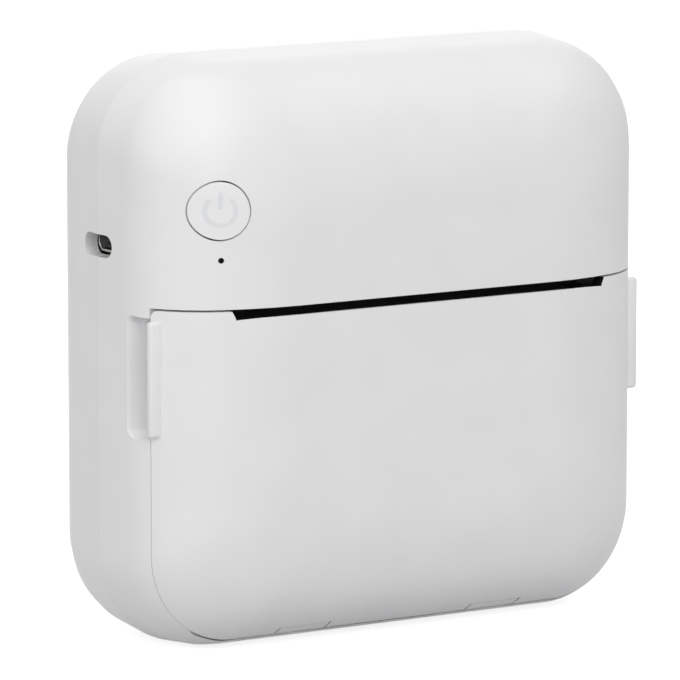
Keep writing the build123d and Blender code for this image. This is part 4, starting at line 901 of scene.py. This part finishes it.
def leg(work, middle, turn, body_half, shift, height):
    """A chip's leg: out of its side at half height, down, and flat along the board."""
    half = height / 2
    outline = ((0, half), (LEG_KNEE, half), (LEG_FOOT, LEG_THICKNESS), (LEG_REACH, LEG_THICKNESS),
               (LEG_REACH, 0), (LEG_FOOT - LEG_SLANT, 0), (LEG_KNEE - LEG_SLANT, half - LEG_THICKNESS),
               (0, half - LEG_THICKNESS))
    rings = []
    for side in (-1, 1):
        ring = []
        for out, up in outline:
            x, depth = middle + turn @ Vector((body_half + out, shift + side * LEG_WIDTH / 2))
            ring.append(work.verts.new(place(x, depth, BOARD_TOP + up)))
        rings.append(ring)
    skin(work, rings)


def chip_bodies():
    """Black chip bodies, the coil's core and the connectors' housings."""
    work = bmesh.new()
    for x, depth, size, height in CHIPS:
        half = size / 2 - LEG_REACH
        on_board(work, (x - half, x + half), (depth - half, depth + half), (CHIP_LIFT, height), CHIP_ROUNDING)
    turned(work, COIL_OUTLINE, *COIL_PLACE)
    for across, depth, height in BLACK_BLOCKS:
        on_board(work, across, depth, height, BLACK_ROUNDING)
    return finished("board_chip_bodies", work, epoxy)


def chip_metal():
    """Legs round the chips, shielding can, capacitor cans and connector pins."""
    work = bmesh.new()
    for x, depth, size, height in CHIPS:
        half = size / 2 - LEG_REACH
        count = int(2 * half / LEG_PITCH)
        for quarter in range(4):
            for index in range(count):
                shift = (index - (count - 1) / 2) * LEG_PITCH
                leg(work, Vector((x, depth)), Matrix.Rotation(pi / 2 * quarter, 2), half, shift, height)
    for across, depth, height, rounding in METAL_BLOCKS:
        on_board(work, across, depth, height, rounding)
    for x, depth in CAPACITOR_PLACES:
        turned(work, CAPACITOR_OUTLINE, x, depth)
    return finished("board_metal_parts", work, nickel)


def radio_base():
    """The radio module's own small board, its free end left for the antenna."""
    work = bmesh.new()
    on_board(work, *RADIO_BASE, RADIO_ROUNDING, segments=2)
    return finished("radio_module_base", work, board_green)


as_piece("board_chip_bodies", chip_bodies(), "body", "component_plastic", "board_parts")
as_piece("board_metal_parts", chip_metal(), "body", "switch_metal", "board_parts")
as_piece("radio_module_base", radio_base(), "body", "board_laminate", "board_parts")


# The charging socket: its shell as the frame has it, and contacts on the tongue
TONGUE_DEPTH = 20.2
TONGUE_FACES = (15.1, 15.7)
CONTACT_COUNT = 7
CONTACT_PITCH = 0.5
CONTACT_END = -38.9
CONTACT_LENGTH = 3.5
CONTACT_WIDTH = 0.26
CONTACT_THICKNESS = 0.06
CONTACT_ROUNDING = 0.015
SHELL_MIDDLE_Z = 15.8
SHELL_HALF_WIDTH = 3.75
SHELL_RADIUS = 1.3
SHELL_WALL = 0.1
SHELL_FRONT = -39.52
SHELL_LIP = 0.05


def socket_tongue_and_painted_shade(face):
    """Whether a face of the socket is inside its shell, whose opening has round ends: the black tongue,
    and the shell's inner walls, which are painted black as shade.
    """
    x, depth, z = in_mm(face.center)
    beside = max(0, abs(depth - TONGUE_DEPTH) - SHELL_HALF_WIDTH + SHELL_RADIUS)
    from_core = (beside ** 2 + (z - SHELL_MIDDLE_Z) ** 2) ** 0.5
    return x > SHELL_FRONT + SHELL_LIP and from_core < SHELL_RADIUS - SHELL_WALL


def socket_shell():
    """The bright shell, with its tongue black as its plastic is, and its inner walls painted black as shade.
    """
    # the tongue is black as it really is; the shell's inner metal walls are painted black, as painted shade
    return softly_shaded(painted(merged_copy("usb_socket"), nickel, epoxy, socket_tongue_and_painted_shade))


def socket_contacts():
    """A row of flat contacts on each face of the tongue."""
    half_width = CONTACT_WIDTH / 2
    half_thickness = CONTACT_THICKNESS / 2
    work = bmesh.new()
    for index in range(CONTACT_COUNT):
        middle = TONGUE_DEPTH + (index - (CONTACT_COUNT - 1) / 2) * CONTACT_PITCH
        for z in TONGUE_FACES:
            rounded_block(work, (CONTACT_END, CONTACT_END + CONTACT_LENGTH),
                          (middle - half_width, middle + half_width),
                          (z - half_thickness, z + half_thickness), CONTACT_ROUNDING, segments=2)
    return finished("socket_contacts", work, brass)


as_piece("socket_shell", socket_shell(), "body", "socket_metal", "usb_socket")
as_piece("socket_contacts", socket_contacts(), "body", "socket_metal", "usb_socket")


# Screws, made by a node tree from a few sizes
SCREW_SIZES = ("Head Radius", "Head Height", "Shank Radius", "Length", "Pitch")
SCREW_SHARES = {
    # size: the tree's input that it is a share of, and the share
    "slot length": ("Head Radius", 1.0),
    "slot width": ("Head Radius", 0.26),
    "slot height": ("Head Height", 1.3),
    "core radius": ("Shank Radius", 0.8),
    "core middle": ("Length", -0.5),
    "ridge radius": ("Shank Radius", 0.88),
    "ridge size": ("Shank Radius", 0.12),
    "thread length": ("Length", 0.94),
    "thread start": ("Length", -0.98),
}
HEAD_STEPS = 12
HEAD_SIDES = 32
HEAD_ROUNDING = 0.42
HEAD_ROUNDING_POWER = 3.0
CORE_SIDES = 24
RIDGE_SIDES = 4
THREAD_STEPS = 20
HEAD_TO_REAR = (-pi / 2, 0, 0)
SCREW_GROUPS = {
    # name: (half spread across, heights, seat depth, head radius, head height, shank radius, length)
    "case_screws": (34.3, (34.3, -34.3), 24.0, 1.9, 1.4, 1.0, 10.0),
    "frame_screws": (35.3, (10.2,), 13.4, 1.6, 1.0, 0.8, 6.0),
    "bay_screws": (34.2, (-22.0,), 19.4, 1.6, 1.0, 0.8, 6.0),
}
THREAD_PITCH = 0.7


def pan_head(tree, given, sizes):
    """A rounded head on an upright axis, with two crossed slots cut from its top."""
    top = add(tree, "ShaderNodeCombineXYZ", {"Z": given["Head Height"]})
    axis = add(tree, "GeometryNodeCurvePrimitiveLine", {"End": top})
    steps = add(tree, "GeometryNodeResampleCurve", {"Curve": axis, "Count": HEAD_STEPS})
    height = add(tree, "GeometryNodeSplineParameter")
    bend = add(tree, "ShaderNodeMath", {0: height, 1: HEAD_ROUNDING_POWER}, operation="POWER")
    share = add(tree, "ShaderNodeMath", {0: bend, 1: -HEAD_ROUNDING, 2: 1.0}, operation="MULTIPLY_ADD")
    radius = add(tree, "ShaderNodeMath", {0: given["Head Radius"], 1: share}, operation="MULTIPLY")
    ring = add(tree, "GeometryNodeCurvePrimitiveCircle", {"Resolution": HEAD_SIDES, "Radius": 1.0})
    head = add(tree, "GeometryNodeCurveToMesh",
               {"Curve": steps, "Profile Curve": ring, "Scale": radius, "Fill Caps": True})
    slots = []
    for across, along in (("slot length", "slot width"), ("slot width", "slot length")):
        size = add(tree, "ShaderNodeCombineXYZ",
                   {"X": sizes[across], "Y": sizes[along], "Z": sizes["slot height"]})
        block = add(tree, "GeometryNodeMeshCube", {"Size": size})
        slots.append(add(tree, "GeometryNodeTransform", {"Geometry": block, "Translation": top}))
    return add(tree, "GeometryNodeMeshBoolean", {"Mesh 1": head, "Mesh 2": slots}, operation="DIFFERENCE")


def threaded_shank(tree, given, sizes):
    """The two parts of the shank below the head: a helical ridge, and the core in it."""
    core = add(tree, "GeometryNodeMeshCylinder",
               {"Vertices": CORE_SIDES, "Radius": sizes["core radius"], "Depth": given["Length"]})
    turns = add(tree, "ShaderNodeMath", {0: sizes["thread length"], 1: given["Pitch"]}, operation="DIVIDE")
    helix = add(tree, "GeometryNodeCurveSpiral",
                {"Resolution": THREAD_STEPS, "Rotations": turns, "Start Radius": sizes["ridge radius"],
                 "End Radius": sizes["ridge radius"], "Height": sizes["thread length"]})
    ridge = add(tree, "GeometryNodeCurvePrimitiveCircle",
                {"Resolution": RIDGE_SIDES, "Radius": sizes["ridge size"]})
    thread = add(tree, "GeometryNodeCurveToMesh", {"Curve": helix, "Profile Curve": ridge, "Fill Caps": True})
    lowered = []
    for shape, height in ((thread, "thread start"), (core, "core middle")):
        drop = add(tree, "ShaderNodeCombineXYZ", {"Z": sizes[height]})
        lowered.append(add(tree, "GeometryNodeTransform", {"Geometry": shape, "Translation": drop}))
    return lowered


def screw_tree():
    """A tree that puts a pan-head screw with a cut thread on every point, its head to the rear."""
    tree = bpy.data.node_groups.new("pan_head_screw", "GeometryNodeTree")
    tree.interface.new_socket("Places", in_out="INPUT", socket_type="NodeSocketGeometry")
    tree.interface.new_socket("Finish", in_out="INPUT", socket_type="NodeSocketMaterial")
    for name in SCREW_SIZES:
        tree.interface.new_socket(name, in_out="INPUT", socket_type="NodeSocketFloat")
    tree.interface.new_socket("Screws", in_out="OUTPUT", socket_type="NodeSocketGeometry")
    given = add(tree, "NodeGroupInput").outputs
    sizes = {name: add(tree, "ShaderNodeMath", {0: given[whole], 1: share}, operation="MULTIPLY")
             for name, (whole, share) in SCREW_SHARES.items()}
    shapes = threaded_shank(tree, given, sizes) + [pan_head(tree, given, sizes)]
    screw = add(tree, "GeometryNodeJoinGeometry", {"Geometry": shapes})
    on_places = add(tree, "GeometryNodeInstanceOnPoints",
                    {"Points": given["Places"], "Instance": screw, "Rotation": HEAD_TO_REAR})
    real = add(tree, "GeometryNodeRealizeInstances", {"Geometry": on_places})
    dressed = add(tree, "GeometryNodeSetMaterial", {"Geometry": real, "Material": given["Finish"]})
    add(tree, "NodeGroupOutput", {"Screws": dressed})
    return tree


def grown(tree, places, settings):
    """The plain mesh that a tree makes on some places, its named inputs set first."""
    seeds = bpy.data.meshes.new("places")
    seeds.from_pydata([tuple(spot) for spot in places], [], [])
    holder = in_scene("places", seeds)
    modifier = holder.modifiers.new("grow", "NODES")
    modifier.node_group = tree
    for socket in tree.interface.items_tree:
        if socket.in_out == "INPUT" and socket.name in settings:
            modifier[socket.identifier] = settings[socket.name]
    graph = bpy.context.evaluated_depsgraph_get()
    mesh = bpy.data.meshes.new_from_object(holder.evaluated_get(graph))
    bpy.data.objects.remove(holder)
    return softly_shaded(mesh)


pan_head_screw = screw_tree()
for node_name, (across, heights, seat, *sizes) in SCREW_GROUPS.items():
    places = [place(side * across, seat, height) for side in (-1, 1) for height in heights]
    settings = {name: size * MM for name, size in zip(SCREW_SIZES, (*sizes, THREAD_PITCH))}
    screws = grown(pan_head_screw, places, settings | {"Finish": nickel})
    as_piece(f"{node_name}_pan_head", screws, "body", "screw_steel", node_name)


# Floor, room and light, with places and sizes in metres
FLOOR_HALF = 3.0
FLOOR_LIFT = 0.8
ROOM_GLOW = 0.41
SOFT_LAMPS = (
    # name, place, side, power in watts
    ("over_the_front", (-0.25, -0.85, 0.62), 0.8, 5.15),
    ("from_the_left", (-1.0, -0.1, 0.42), 0.7, 1.9),
    ("overhead", (0.0, 0.05, 1.1), 0.8, 2.2),
    ("from_behind", (0.5, 0.9, 0.25), 0.8, 1.9),
)


def straight_look(tree):
    """1 for a look from the camera, off a glossy face or through a clear one, and 0 for other rays."""
    rays = add(tree, "ShaderNodeLightPath").outputs
    seen = rays["Is Camera Ray"]
    for kind in ("Is Glossy Ray", "Is Transmission Ray"):
        seen = add(tree, "ShaderNodeMath", {0: seen, 1: rays[kind]}, operation="MAXIMUM")
    return seen


def white_board():
    """A pale matt floor that a straight look sees near white, and that keeps the shadow."""
    material = bpy.data.materials.new("floor_white_board")
    material.use_nodes = True
    tree = material.node_tree
    tree.nodes.remove(tree.nodes["Principled BSDF"])
    matt = add(tree, "ShaderNodeBsdfDiffuse", {"Color": colour("#C5C5C6")})
    lift = add(tree, "ShaderNodeMath", {0: straight_look(tree), 1: FLOOR_LIFT}, operation="MULTIPLY")
    glow = add(tree, "ShaderNodeEmission", {"Color": colour("#FFFFFF"), "Strength": lift})
    both = add(tree, "ShaderNodeAddShader", {0: matt, 1: glow})
    tree.links.new(both.outputs["Shader"], tree.nodes["Material Output"].inputs["Surface"])
    return material


def make_floor():
    """A wide square floor under the printer."""
    corners = [(x * FLOOR_HALF, y * FLOOR_HALF, 0) for x, y in ((-1, -1), (1, -1), (1, 1), (-1, 1))]
    mesh = bpy.data.meshes.new("floor")
    mesh.from_pydata(corners, [], [(0, 1, 2, 3)])
    mesh.materials.append(white_board())
    in_scene("floor", mesh)


def make_light():
    """An even room, a large soft box over the front, and weaker ones from the left, above and behind."""
    world = bpy.data.worlds.new("white_room")
    bpy.context.scene.world = world
    world.use_nodes = True
    tree = world.node_tree
    strength = add(tree, "ShaderNodeMapRange",
                   {"Value": straight_look(tree), "To Min": ROOM_GLOW, "To Max": 1.0})
    background = tree.nodes["Background"]
    tree.links.new(strength.outputs["Result"], background.inputs["Strength"])
    background.inputs["Color"].default_value = colour("#FFFFFF")
    for name, where, side, power in SOFT_LAMPS:
        lamp = bpy.data.lights.new(name, "AREA")
        lamp.shape = "SQUARE"
        lamp.size = side
        lamp.energy = power
        aim(in_scene(name, lamp), where)


make_camera()
make_floor()
make_light()
bpy.context.scene.view_settings.view_transform = "Standard"
